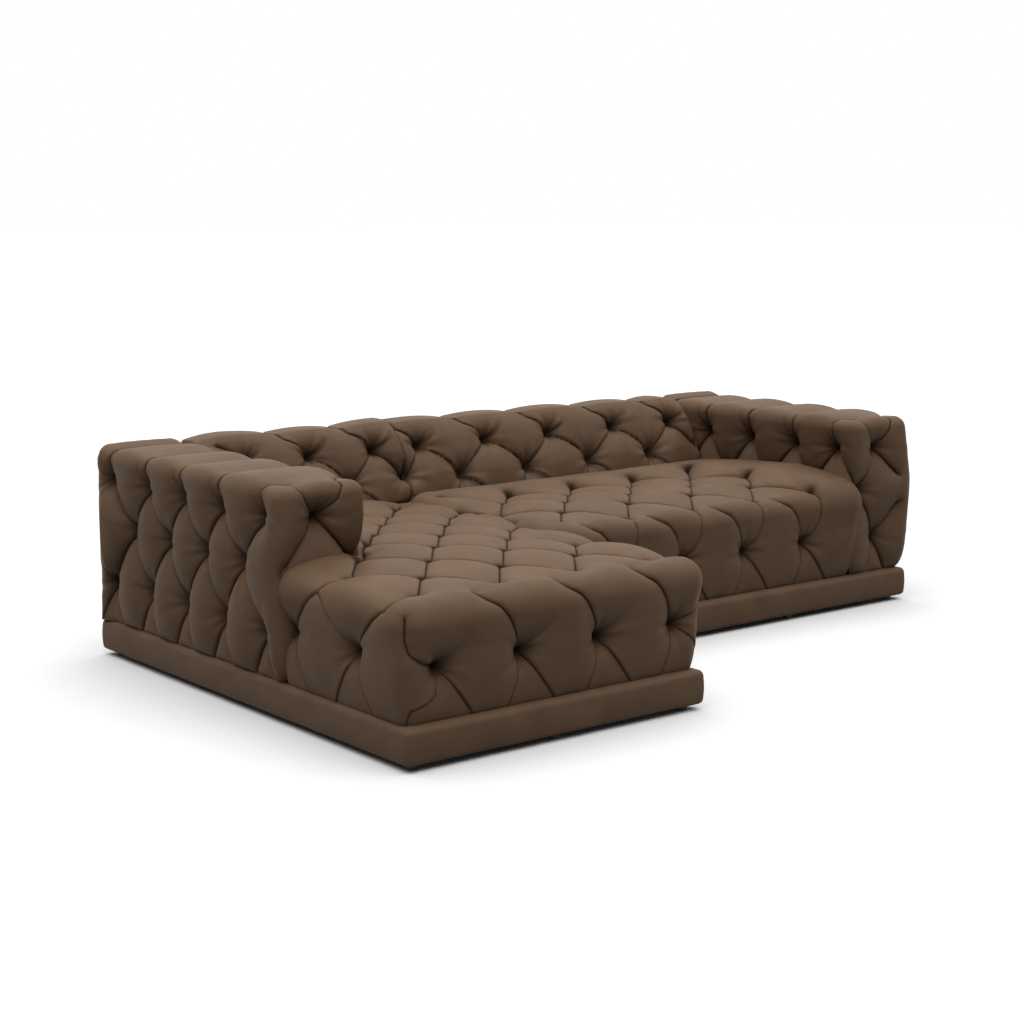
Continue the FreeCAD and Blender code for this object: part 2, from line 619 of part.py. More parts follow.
os.makedirs("parts", exist_ok=True)
for name, solids in parts.items():
    shape = solids[0] if len(solids) == 1 else Part.makeCompound(solids)
    shape.exportStep("parts/" + name + ".step")
    print(name, len(shape.Solids), "solids", round(shape.Volume / 1e6, 2), "litres", shape.isValid())
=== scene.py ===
import math

import bpy
import numpy as np
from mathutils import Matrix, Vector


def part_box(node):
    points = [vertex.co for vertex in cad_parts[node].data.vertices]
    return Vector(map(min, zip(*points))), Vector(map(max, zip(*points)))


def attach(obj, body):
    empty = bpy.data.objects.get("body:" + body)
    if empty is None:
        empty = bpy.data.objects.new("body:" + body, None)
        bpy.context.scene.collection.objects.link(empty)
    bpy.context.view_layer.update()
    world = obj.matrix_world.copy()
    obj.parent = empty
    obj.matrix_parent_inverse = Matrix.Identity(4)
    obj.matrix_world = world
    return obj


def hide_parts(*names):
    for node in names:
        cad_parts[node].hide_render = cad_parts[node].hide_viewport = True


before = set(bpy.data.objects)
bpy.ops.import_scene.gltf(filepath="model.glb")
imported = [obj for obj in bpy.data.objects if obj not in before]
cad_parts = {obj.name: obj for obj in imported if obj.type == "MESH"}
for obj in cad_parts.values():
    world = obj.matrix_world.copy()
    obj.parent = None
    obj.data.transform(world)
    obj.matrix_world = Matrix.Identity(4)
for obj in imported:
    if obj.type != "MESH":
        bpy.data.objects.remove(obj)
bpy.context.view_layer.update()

# Camera
# The viewpoint of the photograph, found from the sofa's own straight edges: a little above seat level,
# in front of the chaise's left corner, looking slightly down.
CAMERA_PLACE = (-4.4022, -5.1274, 1.5810)
CAMERA_TURN_DEG = -38.2841
CAMERA_DIP_DEG = 9.4102
LENS_MM = 69.254
SENSOR_MM = 36.0

camera_data = bpy.data.cameras.new("camera")
camera_data.lens = LENS_MM
camera_data.sensor_width = SENSOR_MM
camera = bpy.data.objects.new("camera", camera_data)
camera.location = CAMERA_PLACE
camera.rotation_euler = (math.radians(90 - CAMERA_DIP_DEG), 0, math.radians(CAMERA_TURN_DEG))
bpy.context.scene.collection.objects.link(camera)
bpy.context.scene.camera = camera

# Left arm
# A plywood box on the chaise unit, padded with foam and a fibre quilt under one leather cover. Blind
# tufts hold the leather down on a staggered lattice round all four sides, the slack is folded into pleats
# between them, and the padding swells the leather up between the pleats.
CELL = 0.005                    # spacing of the leather's mesh
ARM_ROUND = (0.040, 0.040, 0.040)   # soft edges of an arm
BOTTOM_TUCK = 0.016             # how far the cover's lower edge is drawn in above the plinth
HIDDEN_BELOW_SEAT = 0.10        # a wall that the seat hides reaches this far below the seat's top
DEEPEST = 0.071                 # the timber lies a little deeper than this
TUFT_SUNK = 0.026               # tufts, pleats halfway, pleats over an edge and at a corner, below the face
PLEAT_SUNK = 0.022
EDGE_SUNK = 0.008
CORNER_SUNK = 0.004
FUNNEL, FUNNEL_REACH = 0.036, 0.034   # each tuft draws the puffs round it down
FULLNESS = 0.46                 # height of a puff against its half width, on a side and on a top
TOP_FULLNESS = 0.18
PUFF_SPAN, PUFF_CURVE = 0.075, 1.35
PUFF_LIMIT = 0.062              # the largest puffs flatten out towards this height
FLAT_MARGIN = 0.010             # a top's own fullness is reached this far below the top
FLAT_ABOVE_ROW = 0.04           # an arm's sides start to take it this far above the middle row
CALM_LEVEL = 0.010              # height of leather that is left plain
LIP, LIP_WIDTH = 0.005, 0.014   # the upper puff hangs over its pleat, less so near a tuft
LIP_START, LIP_REACH = 0.055, 0.050
BEAD, BEAD_WIDTH = 0.0020, 0.006   # its folded edge
FADE = 0.050                    # a tuft's pull dies out along a pleat over this length
GATHER, GATHER_REACH = 0.05, 0.026   # wrinkles round a tuft, as a share of its depth
GATHER_WAVES = ((1.0, 7, 1.7), (0.7, 11, 2.9))   # their size, number round the tuft, and shift from tuft to tuft
TUFT_REACH = 0.12               # nothing further from a tuft is moved by it
CREASE_WIDTH = 0.0028           # width of the painted shade line in a pleat or wrinkle
WRINKLE_DARK, TUFT_DARK = 0.6, 0.8   # strength of a wrinkle's painted shade line, and width of the painted shade round a tuft's pit against its reach
SKIN_TURNS, SKIN_ACCURACY = 400, 1e-6
ASKEW = (0.31, 0.52, 0.79)      # a direction that no face has
UP, BACKWARDS, LEFTWARDS, RIGHTWARDS = (0, 0, 1), (0, 1, 0), (-1, 0, 0), (1, 0, 0)
REAR_CALM, REAR_CALM_RUN = 0.085, 0.055   # the arm's rear end is smooth from here on
CORNER_NEAR = 0.02              # a tuft nearer than this to an upright corner is left out
FOOT_SPREAD = 0.058             # pleats of the lowest row run out to this at the plinth
TOP_FADE = 0.03
BELT_STEPS = 24
REAR_CREASE_RISES, REAR_CREASE_SHARE, REAR_CREASE_WIDTH = (-0.13, 0.09), 0.42, 0.020
SIDE_CREASE, SIDE_CREASE_WIDTH = 0.007, 0.012
SIDE_CREASE_WAY = ((0.006, 0.01), (0.035, 0.05))   # behind the tuft and above it
SIDE_CREASE_END = 0.04
# Pleat round an upright corner: in from the side, back as a share of the first side tuft's place, below the top
CORNER_WAY = ((0.095, 0, 0.05), (0.074, 0, 0), (0.068, 0.60, 0), (0.035, 0.93, 0))
SEAT_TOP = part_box("sofa_seat_cover")[1].z


def grid_lines(breaks):
    """Evenly spaced mesh lines that hit every break."""
    lines = [breaks[0]]
    for start, end in zip(breaks, breaks[1:]):
        count = max(1, round((end - start) / CELL))
        lines.extend(start + (end - start) * (i + 1) / count for i in range(count))
    return np.array(lines)


class PaddedForm:
    """A soft-edged block over one or two overlapping rectangles, as a fine mesh that is tufted and filled."""

    def __init__(self, rooms, low, high, rounding, wall_foot, lean=None):
        self.rooms, self.high, self.rounding, self.lean = rooms, high, rounding, lean
        xs = grid_lines(sorted({x for room in rooms for x in room[0]}))
        ys = grid_lines(sorted({y for room in rooms for y in room[1]}))
        zs = grid_lines([low, high])
        mid_x, mid_y, mid_z = (xs[1:] + xs[:-1]) / 2, (ys[1:] + ys[:-1]) / 2, (zs[1:] + zs[:-1]) / 2
        inside = np.zeros((len(mid_x) + 2, len(mid_y) + 2), bool)
        for (x0, x1), (y0, y1) in rooms:
            in_x = (mid_x > x0) & (mid_x < x1)
            in_y = (mid_y > y0) & (mid_y < y1)
            inside[1:-1, 1:-1] |= in_x[:, None] & in_y[None, :]

        def key(i, j, k):
            return (i * len(ys) + j) * len(zs) + k

        i, j = np.nonzero(inside[1:-1, 1:-1])
        top = len(zs) - 1
        quads = [np.stack([key(i, j, top), key(i + 1, j, top), key(i + 1, j + 1, top), key(i, j + 1, top)], 1)]
        levels = np.arange(top)
        sides = (
            ((1, 0), (1, 0), (1, 1)),
            ((-1, 0), (0, 1), (0, 0)),
            ((0, 1), (1, 1), (0, 1)),
            ((0, -1), (0, 0), (1, 0)),
        )
        for (nx, ny), (ai, aj), (bi, bj) in sides:
            outside = ~inside[1 + nx:inside.shape[0] - 1 + nx, 1 + ny:inside.shape[1] - 1 + ny]
            i, j = np.nonzero(inside[1:-1, 1:-1] & outside)
            foot = wall_foot(mid_x[i], mid_y[j], nx, ny)
            column, level = np.nonzero(mid_z[None, :] > foot[:, None])
            i, j, k = i[column], j[column], levels[level]
            quads.append(np.stack([
                key(i + ai, j + aj, k), key(i + bi, j + bj, k),
                key(i + bi, j + bj, k + 1), key(i + ai, j + aj, k + 1),
            ], 1))
        keys, faces = np.unique(np.concatenate(quads), return_inverse=True)
        self.faces = faces.reshape(-1, 4)
        sharp = np.stack([xs[keys // (len(ys) * len(zs))], ys[keys // len(zs) % len(ys)], zs[keys % len(zs)]], 1)
        self.bottom = sharp[:, 2] == zs[0]
        self.points, self.normals = self.soften(sharp)
        ends = np.concatenate([self.faces[:, [i, (i + 1) % 4]] for i in range(4)])
        self.edges = np.unique(np.sort(ends, axis=1), axis=0)
        self.pleats, self.tufts, self.wrinkles = [], [], []
        self.calm, self.freedom = np.ones(len(self.points)), (1, 1, 1)

    def soften(self, sharp):
        """Where points of the sharp block lie on the soft-edged one, with its outward directions."""
        rx, ry, rz = r = np.array(self.rounding)
        best, best_far = None, None
        for (x0, x1), (y0, y1) in self.rooms:
            near = np.stack([
                np.clip(sharp[:, 0], x0 + rx, x1 - rx),
                np.clip(sharp[:, 1], y0 + ry, y1 - ry),
                np.minimum(sharp[:, 2], self.high - rz),
            ], 1)
            far = np.linalg.norm((sharp - near) / r, axis=1)
            if best is None:
                best, best_far = near, far
            else:
                closer = far < best_far
                best = np.where(closer[:, None], near, best)
                best_far = np.where(closer, far, best_far)
        out = (sharp - best) / r / best_far[:, None]
        points, facing = best + r * out, out / r
        if self.lean:
            start, setback = self.lean
            y0, y1 = self.rooms[0][1]
            tall = self.high - start
            share = (y1 - points[:, 1]) / (y1 - y0)
            rise = np.maximum(points[:, 2] - start, 0) / tall
            squeeze = 1 - setback * rise / (y1 - y0)
            slope = np.where(rise > 0, setback * share / tall, 0)
            facing[:, 2] -= facing[:, 1] * slope / squeeze
            facing[:, 1] /= squeeze
            points[:, 1] += setback * share * rise
        return points, facing / np.linalg.norm(facing, axis=1)[:, None]

    def lay(self, way):
        """A line over the soft-edged block, in steps of about a cell."""
        way = np.array(way, float)
        lengths = np.linalg.norm(np.diff(way, axis=0), axis=1)
        at = np.concatenate([[0], np.cumsum(lengths)])
        steps = np.linspace(0, at[-1], max(3, int(at[-1] / (1.5 * CELL))))
        line = np.stack([np.interp(steps, at, way[:, a]) for a in range(3)], 1)
        return self.soften(line)[0], steps

    def pleat(self, way, sunk, over, fade=FADE, line_shade=0.8):
        """A pleat that holds the leather down; sunk at its start, middle and end, over names the lip's side, and a
        line of painted shade runs along it.
        """
        line, steps = self.lay(way)
        start, middle, end = sunk
        depth = middle + (start - middle) * np.exp(-steps / fade)
        depth = depth + (end - middle) * np.exp(-(steps[-1] - steps) / fade)
        self.pleats.append((line, depth, np.array(over, float), line_shade))

    def tuft(self, place, depth=FUNNEL, reach=FUNNEL_REACH):
        """A stitch that draws the leather and the puffs round it down."""
        self.tufts.append((self.soften(np.array([place], float))[0][0], depth, reach))

    def wrinkle(self, way, depth, width):
        """A soft crease that fades out along its length."""
        line, steps = self.lay(way)
        self.wrinkles.append((line, depth * (1 - steps / steps[-1]) ** 0.7, width))

    def nearest(self, line, reach):
        """Points within reach of a line: index, nearest place on it, how far along, its direction, distance."""
        low, high = line.min(0) - reach, line.max(0) + reach
        index = np.nonzero(np.all((self.points > low) & (self.points < high), axis=1))[0]
        p = self.points[index]
        best = np.full(len(index), 1e9)
        place, along, way = np.zeros((len(index), 3)), np.zeros(len(index)), np.zeros((len(index), 3))
        for k in range(len(line) - 1):
            step = line[k + 1] - line[k]
            t = np.clip((p - line[k]) @ step / (step @ step), 0, 1)
            q = line[k] + t[:, None] * step
            far = np.linalg.norm(p - q, axis=1)
            closer = far < best
            best[closer] = far[closer]
            place[closer], along[closer] = q[closer], k + t[closer]
            way[closer] = step / np.linalg.norm(step)
        return index, place, along, way, best

    def skin(self, held, height, push):
        """Heights of a stretched skin that is held at some points and pushed out elsewhere."""
        a, b = self.edges.T
        count = len(self.points)
        degree = np.bincount(a, minlength=count) + np.bincount(b, minlength=count)

        def pull(x):
            near = np.bincount(a, x[b], count) + np.bincount(b, x[a], count)
            return np.where(held, 0.0, degree * x - near)

        x = np.where(held, height, np.mean(height[held]))
        rest = np.where(held, 0.0, push * CELL ** 2) - pull(x)
        step, size = rest.copy(), rest @ rest
        target = size * SKIN_ACCURACY
        for turn in range(SKIN_TURNS):
            if size < target:
                break
            drag = pull(step)
            share = size / (step @ drag)
            x += share * step
            rest -= share * drag
            new_size = rest @ rest
            step = rest + new_size / size * step
            size = new_size
        return x

    def fill(self, fullness, top_fullness, flat_from, lift=0.0):
        """Lays mesh points on the pleats, holds them down, swells the leather between them and sets the painted
        shade along the creases and round the tufts.
        """
        held = self.bottom.copy()
        height = np.where(held, -BOTTOM_TUCK, 0.0)
        self.on_pleat = np.zeros(len(self.points), bool)
        for line, depth, _, _ in self.pleats:
            index, place, along, _, far = self.nearest(line, CELL)
            aside = self.points[index] - place
            slant = np.abs(aside).max(1) / np.maximum(far, 1e-9)
            take = (far < 0.5 * CELL * np.maximum(slant, 0.7)) & ~self.on_pleat[index]
            self.points[index[take]] = place[take]
            height[index[take]] = -np.interp(along[take], np.arange(len(depth)), depth)
            self.on_pleat[index[take]] = True
        held |= self.on_pleat
        base = self.skin(held, height, 0.0)
        level = np.clip((self.points[:, 2] - flat_from) / (self.high - FLAT_MARGIN - flat_from), 0, 1)
        span = np.sqrt(2 * np.maximum(self.skin(held, np.zeros(len(held)), 1.0), 0))
        puff = PUFF_SPAN * (span / PUFF_SPAN) ** PUFF_CURVE
        puff *= fullness + (top_fullness - fullness) * level
        puff /= (1 + (puff / PUFF_LIMIT) ** 4) ** 0.25
        height = self.calm * (base + puff + lift) + (1 - self.calm) * CALM_LEVEL
        move = np.zeros(self.points.shape)
        # Painted shade, 0 to 1: dark lines along pleats and wrinkles and dark pits round the tufts, painted into the
        # leather's colour
        self.painted_shade = np.zeros(len(self.points))
        for line, _, over, dark in self.pleats:
            index, place, along, way, far = self.nearest(line, LIP_REACH)
            across = np.cross(self.normals[index], way)
            across *= np.sign(across @ over)[:, None]
            side = np.sum((self.points[index] - place) * across, axis=1)
            upper = side > 0
            to_end = np.minimum(along, len(line) - 1 - along) * np.linalg.norm(line[1] - line[0])
            lip = LIP * (1 - np.exp(-(to_end / LIP_START) ** 2))
            lean = np.where(upper, lip * far / LIP_WIDTH * np.exp(1 - far / LIP_WIDTH), 0)
            bead = np.where(upper, BEAD * far / BEAD_WIDTH * np.exp(1 - far / BEAD_WIDTH), 0)
            move[index] -= across * lean[:, None]
            height[index] += bead
            # painted shade line along the pleat
            self.painted_shade[index] = np.maximum(self.painted_shade[index], dark * np.exp(-far / CREASE_WIDTH))
        for line, depth, width in self.wrinkles:
            index, _, along, _, far = self.nearest(line, 4 * width)
            here = np.interp(along, np.arange(len(depth)), depth)
            height[index] -= here * np.exp(-(far / width) ** 1.5)
            # painted shade line along the wrinkle, fading with its depth
            dark = WRINKLE_DARK * here / depth[0] * np.exp(-far / CREASE_WIDTH)
            self.painted_shade[index] = np.maximum(self.painted_shade[index], dark)
        for number, (place, depth, reach) in enumerate(self.tufts):
            aside = self.points - place
            index = np.nonzero(np.max(np.abs(aside), axis=1) < TUFT_REACH)[0]
            aside, out = aside[index], self.normals[index]
            axis = np.cross(out, ASKEW)
            axis /= np.linalg.norm(axis, axis=1)[:, None]
            turn = np.arctan2(np.sum(aside * np.cross(out, axis), 1), np.sum(aside * axis, 1))
            far = np.linalg.norm(aside, axis=1)
            swing = sum(size * np.cos(waves * turn + shift * number) for size, waves, shift in GATHER_WAVES)
            gather = GATHER * depth * far / GATHER_REACH * np.exp(1 - far / GATHER_REACH) * swing
            height[index] += gather - depth * np.exp(-(far / reach) ** 1.4)
            # painted shade in the tuft's pit
            self.painted_shade[index] = np.maximum(self.painted_shade[index], np.exp(-(far / (TUFT_DARK * reach)) ** 2))
        out = self.normals * self.freedom
        out /= np.maximum(np.linalg.norm(out, axis=1), 1e-4)[:, None]
        self.points = self.points + move * self.freedom + out * np.maximum(height, -DEEPEST)[:, None]

    def mesh(self, name):
        """Splits quads along the pleats and makes the object."""
        a, b, c, d = self.faces.T
        on = self.on_pleat
        first = on[a] & on[c]
        second = on[b] & on[d] & ~first
        whole = self.faces[~(first | second)]
        split = np.concatenate([
            np.stack([a[first], b[first], c[first]], 1), np.stack([a[first], c[first], d[first]], 1),
            np.stack([a[second], b[second], d[second]], 1), np.stack([b[second], c[second], d[second]], 1),
        ])
        made = bpy.data.meshes.new(name)
        made.vertices.add(len(self.points))
        made.vertices.foreach_set("co", self.points.astype(np.float32).ravel())
        loops = np.concatenate([whole.ravel(), split.ravel()])
        made.loops.add(len(loops))
        made.loops.foreach_set("vertex_index", loops.astype(np.int32))
        totals = np.concatenate([np.full(len(whole), 4), np.full(len(split), 3)])
        made.polygons.add(len(totals))
        starts = np.concatenate([[0], np.cumsum(totals)[:-1]])
        made.polygons.foreach_set("loop_start", starts.astype(np.int32))
        made.polygons.foreach_set("loop_total", totals.astype(np.int32))
        made.update(calc_edges=True)
        made.validate()
        made.polygons.foreach_set("use_smooth", np.ones(len(made.polygons), bool))
        ends = np.zeros(len(made.edges) * 2, np.int32)
        made.edges.foreach_get("vertices", ends)
        ends = ends.reshape(-1, 2)
        attribute = made.attributes.new("sharp_edge", "BOOLEAN", "EDGE")
        attribute.data.foreach_set("value", on[ends[:, 0]] & on[ends[:, 1]])
        # the painted shade, carried as a point attribute for the leather's colour
        attribute = made.attributes.new("painted_shade", "FLOAT", "POINT")
        attribute.data.foreach_set("value", self.painted_shade.astype(np.float32))
        piece = bpy.data.objects.new(name, made)
        bpy.context.scene.collection.objects.link(piece)
        return piece


def blank(name):
    """A new finish with its nodes, links, shader and the piece's own coordinates."""
    made = bpy.data.materials.new(name)
    made.use_nodes = True
    nodes, links = made.node_tree.nodes, made.node_tree.links
    place = nodes.new("ShaderNodeTexCoord").outputs["Object"]
    return made, nodes, links, nodes["Principled BSDF"].inputs, place


def add(nodes, kind, **values):
    """A shader node with some of its sockets set."""
    made = nodes.new("ShaderNode" + kind)
    for socket, value in values.items():
        made.inputs[socket.replace("_", " ")].default_value = value
    return made


def tint(colour, share):
    """A lighter or darker shade."""
    return (*[c * share for c in colour], 1)


def leather(name, colour):
    """Satin full-grain leather: pebbled grain, soft creases, colour drift, and painted shade in the creases and
    round the tufts, where it is also rougher.
    """
    made, nodes, links, shader, place = blank(name)
    shader["Specular IOR Level"].default_value = 0.07

    drift = add(nodes, "TexNoise", Scale=9.0, Detail=4.0)
    links.new(place, drift.inputs["Vector"])
    tone = nodes.new("ShaderNodeValToRGB")
    for stop, position, share in zip(tone.color_ramp.elements, (0.25, 0.75), (0.86, 1.12)):
        stop.position, stop.color = position, tint(colour, share)
    links.new(drift.outputs["Fac"], tone.inputs["Fac"])
    # Painted shade: the leather's colour is darkened towards a tenth of itself in creases and tuft pits, and it is
    # rougher there
    painted_shade = nodes.new("ShaderNodeAttribute")
    painted_shade.attribute_name = "painted_shade"
    shade = nodes.new("ShaderNodeMix")
    shade.data_type = "RGBA"
    # colour of the painted shade
    shade.inputs["B"].default_value = tint(colour, 0.11)
    links.new(painted_shade.outputs["Fac"], shade.inputs["Factor"])
    links.new(tone.outputs["Color"], shade.inputs["A"])
    links.new(shade.outputs["Result"], shader["Base Color"])
    dull = add(nodes, "MapRange", To_Min=0.54, To_Max=0.95)
    links.new(painted_shade.outputs["Fac"], dull.inputs["Value"])
    links.new(dull.outputs["Result"], shader["Roughness"])

    grain = add(nodes, "TexVoronoi", Scale=420.0)
    links.new(place, grain.inputs["Vector"])
    creases = add(nodes, "TexNoise", Scale=34.0, Detail=5.0, Roughness=0.62, Distortion=0.8)
    links.new(place, creases.inputs["Vector"])
    fine = add(nodes, "Bump", Strength=0.35, Distance=0.0004)
    links.new(grain.outputs["Distance"], fine.inputs["Height"])
    soft = add(nodes, "Bump", Strength=0.30, Distance=0.004)
    links.new(creases.outputs["Fac"], soft.inputs["Height"])
    links.new(fine.outputs["Normal"], soft.inputs["Normal"])
    links.new(soft.outputs["Normal"], shader["Normal"])
    return made


brown_leather = leather("brown_leather", (0.124, 0.077, 0.047))


def node_block(node):
    """The place of one of the frame's solids, side by side."""
    low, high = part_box(node)
    return (low.x, high.x), (low.y, high.y), (low.z, high.z)


def dressed(form, name, body, fill, *nodes):
    """The finished cover of one soft piece: it takes the place of its plain solids and rides on its unit."""
    piece = form.mesh(name)
    piece.data.materials.append(brown_leather)
    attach(piece, body)
    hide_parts(*nodes)


def tufted_arm(node, seat_side, rows, front, sides, low_front, low_sides, corner_reach):
    """One arm. Tufts of the first and third row: front from the middle of the front, sides from the front corner;
    those of the second row: low_front either side of the front's middle, low_sides along the sides."""
    (x0, x1), (y0, y1), (z0, z1) = node_block(node)
    wide, long = x1 - x0, y1 - y0
    round_trip = 2 * (wide + long)
    hidden = SEAT_TOP - HIDDEN_BELOW_SEAT

    def wall_foot(x, y, nx, ny):
        return np.full(len(x), hidden if nx == seat_side else z0)

    form = PaddedForm([((x0, x1), (y0, y1))], z0, z1, ARM_ROUND, wall_foot)
    upright = np.clip(2 - form.normals[:, 2] / 0.5, 0, 1)
    form.calm = 1 - upright * np.clip((form.points[:, 1] - (y1 - REAR_CALM)) / REAR_CALM_RUN, 0, 1)

    def belt(u, z):
        """A point on the sides, u along the way round from the middle of the front."""
        u = u % round_trip
        if u < wide / 2:
            return (x0 + wide / 2 - u, y0, z)
        u -= wide / 2
        if u < long:
            return (x0, y0 + u, z)
        u -= long
        if u < wide:
            return (x0 + u, y1, z)
        u -= wide
        if u < long:
            return (x1, y1 - u, z)
        return (x1 - (u - long), y0, z)

    def slanted(u_a, z_a, u_b, z_b, sunk):
        """A straight pleat on the sides, also round a corner."""
        steps = np.linspace(0, 1, BELT_STEPS)
        form.pleat([belt(u_a + (u_b - u_a) * t, z_a + (z_b - z_a) * t) for t in steps], sunk, UP)

    near_side = [wide / 2 + s for s in sides]
    near_low = [low_front[0]] + [wide / 2 + s for s in low_sides]
    far_side, far_low = [-u for u in near_side], [-low_front[1]] + [-u for u in near_low[1:]]
    odd = far_side[::-1] + [front] + near_side
    even = far_low[::-1] + near_low
    to_foot = (TUFT_SUNK, PLEAT_SUNK, BOTTOM_TUCK)
    top_row, middle_row, low_row = rows

    def held_at(u):
        return CORNER_SUNK if abs(abs(u) - wide / 2) < CORNER_NEAR else TUFT_SUNK

    for i, u in enumerate(odd):
        for z in (top_row, low_row):
            form.tuft(belt(u, z))
            for q in even[max(i - 1, 0):i + 1]:
                if held_at(q) == CORNER_SUNK and u != front:
                    continue
                share = corner_reach if held_at(q) == CORNER_SUNK else 1
                sunk = (TUFT_SUNK, PLEAT_SUNK, held_at(q))
                slanted(u, z, u + (q - u) * share, z + (middle_row - z) * share, sunk)
        for side in (-1, 1):
            slanted(u, low_row, u + side * FOOT_SPREAD, z0, to_foot)
    for u in even:
        if held_at(u) == TUFT_SUNK:
            form.tuft(belt(u, middle_row))
    # The rear end has a single tuft in the first and third row; its creases die out before the smooth corners
    for z in (top_row, low_row):
        form.tuft(belt(wide + long, z))
        for side in (-1, 1):
            for rise in REAR_CREASE_RISES:
                end = belt(wide + long + side * wide * REAR_CREASE_SHARE, z + rise)
                form.wrinkle([belt(wide + long, z), end], TUFT_SUNK, REAR_CREASE_WIDTH)

    # Straight pleats over the top, tuft to tuft
    over_top = (TUFT_SUNK, EDGE_SUNK, TUFT_SUNK)
    for s in sides[1:]:
        y = y0 + s
        way = [(x0, y, top_row), (x0, y, z1), (x1, y, z1), (x1, y, top_row)]
        form.pleat(way, over_top, BACKWARDS, TOP_FADE)
        for x in (x0, x1):
            way = [(x, y + behind, top_row + above) for behind, above in SIDE_CREASE_WAY]
            form.wrinkle(way + [(x, y + SIDE_CREASE_END, z1)], SIDE_CREASE, SIDE_CREASE_WIDTH)
    # A pleat round the top of each upright corner, from the end's tuft to the side's nearest tuft
    middle = (x0 + x1) / 2
    for x, inward in ((x0, 1), (x1, -1)):
        y = y0 + sides[0]
        way = [(middle - front, y0, top_row)]
        for inset, share, drop in CORNER_WAY:
            way.append((x + inward * inset, y0 + sides[0] * share, z1 - drop))
        form.pleat(way + [(x, y, z1), (x, y, top_row)], over_top, (-inward, -1, 0), TOP_FADE)
    form.fill(FULLNESS, TOP_FULLNESS, middle_row + FLAT_ABOVE_ROW)
    return form


left_arm = tufted_arm(
    "left_arm_cover", seat_side=1, rows=(0.613, 0.456, 0.269),
    front=0.010, sides=(0.113, 0.367, 0.604, 0.838, 1.080),
    low_front=(0.152, 0.121), low_sides=(0.249, 0.479, 0.710, 0.944), corner_reach=1.0)
dressed(left_arm, "left_arm_upholstery", "chaise_unit", 0.85, "left_arm_cover", "left_arm_padding")

# Right arm
# The same plywood box under foam, quilt and tufted leather, at the sofa unit's right end. The leather of its
# front runs down to the plinth.
right_arm = tufted_arm(
    "right_arm_cover", seat_side=-1, rows=(0.600, 0.442, 0.262),
    front=0.0, sides=(0.109, 0.317, 0.556, 0.795, 1.000),
    low_front=(0.085, 0.152), low_sides=(0.212, 0.446, 0.669, 0.890), corner_reach=0.72)
dressed(right_arm, "right_arm_upholstery", "sofa_unit", 0.85, "right_arm_cover", "right_arm_padding")

# Backs
# Plywood on ribs that lean back from the seat up, padded and covered in leather like the arms. The tufts run
# in two rows above the seat and three behind, and the pleats between them go on over the top.
BACK_ROUND = (0.008, 0.080, 0.070)
BACK_SETBACK = 0.170            # how far the front leans back over its height above the seat
BACK_TUFT_SUNK, BACK_PLEAT_SUNK, BACK_TOP_SUNK, BACK_TUCK = 0.016, 0.013, 0.004, 0.040
BACK_FUNNEL, BACK_FUNNEL_REACH = 0.050, 0.032
BACK_FULLNESS, BACK_TOP_FULLNESS, BACK_DROP = 0.36, 0.10, -0.018
BACK_END_DROP, BACK_END_REACH = 0.022, 0.16   # the top slopes down beside the arm
BACK_FADE = 0.022
SEAT_LINE = SEAT_TOP + 0.034    # where the seat's crown meets the backs
BACK_FRONT_ROWS = (0.660, 0.550)
BACK_REAR_ROWS = (0.600, 0.440, 0.285)
BACK_FRONT_FEET, BACK_REAR_FEET = (-0.050, 0.110), (-0.070, 0.070)
BACK_OVER_WAY = ((0, 0), (0.033, 0.029), (0.066, 0.052))   # left of a tuft of the first row and above it
BACK_OVER_EDGE, BACK_OVER_CREST = 0.095, 0.155
BACK_END_PLAIN = 0.06           # no pleat runs over the top this near to an arm
BACK_CREASE_WAY = ((0, 0), (0.033, 0.006), (0.057, 0.019), (0.071, 0.055))
BACK_CREASE, BACK_CREASE_WIDTH = 0.010, 0.008
BACK_GATHER_TOES = (0.000, 0.042, 0.075)
BACK_GATHER, BACK_GATHER_WIDTH = 0.008, 0.006


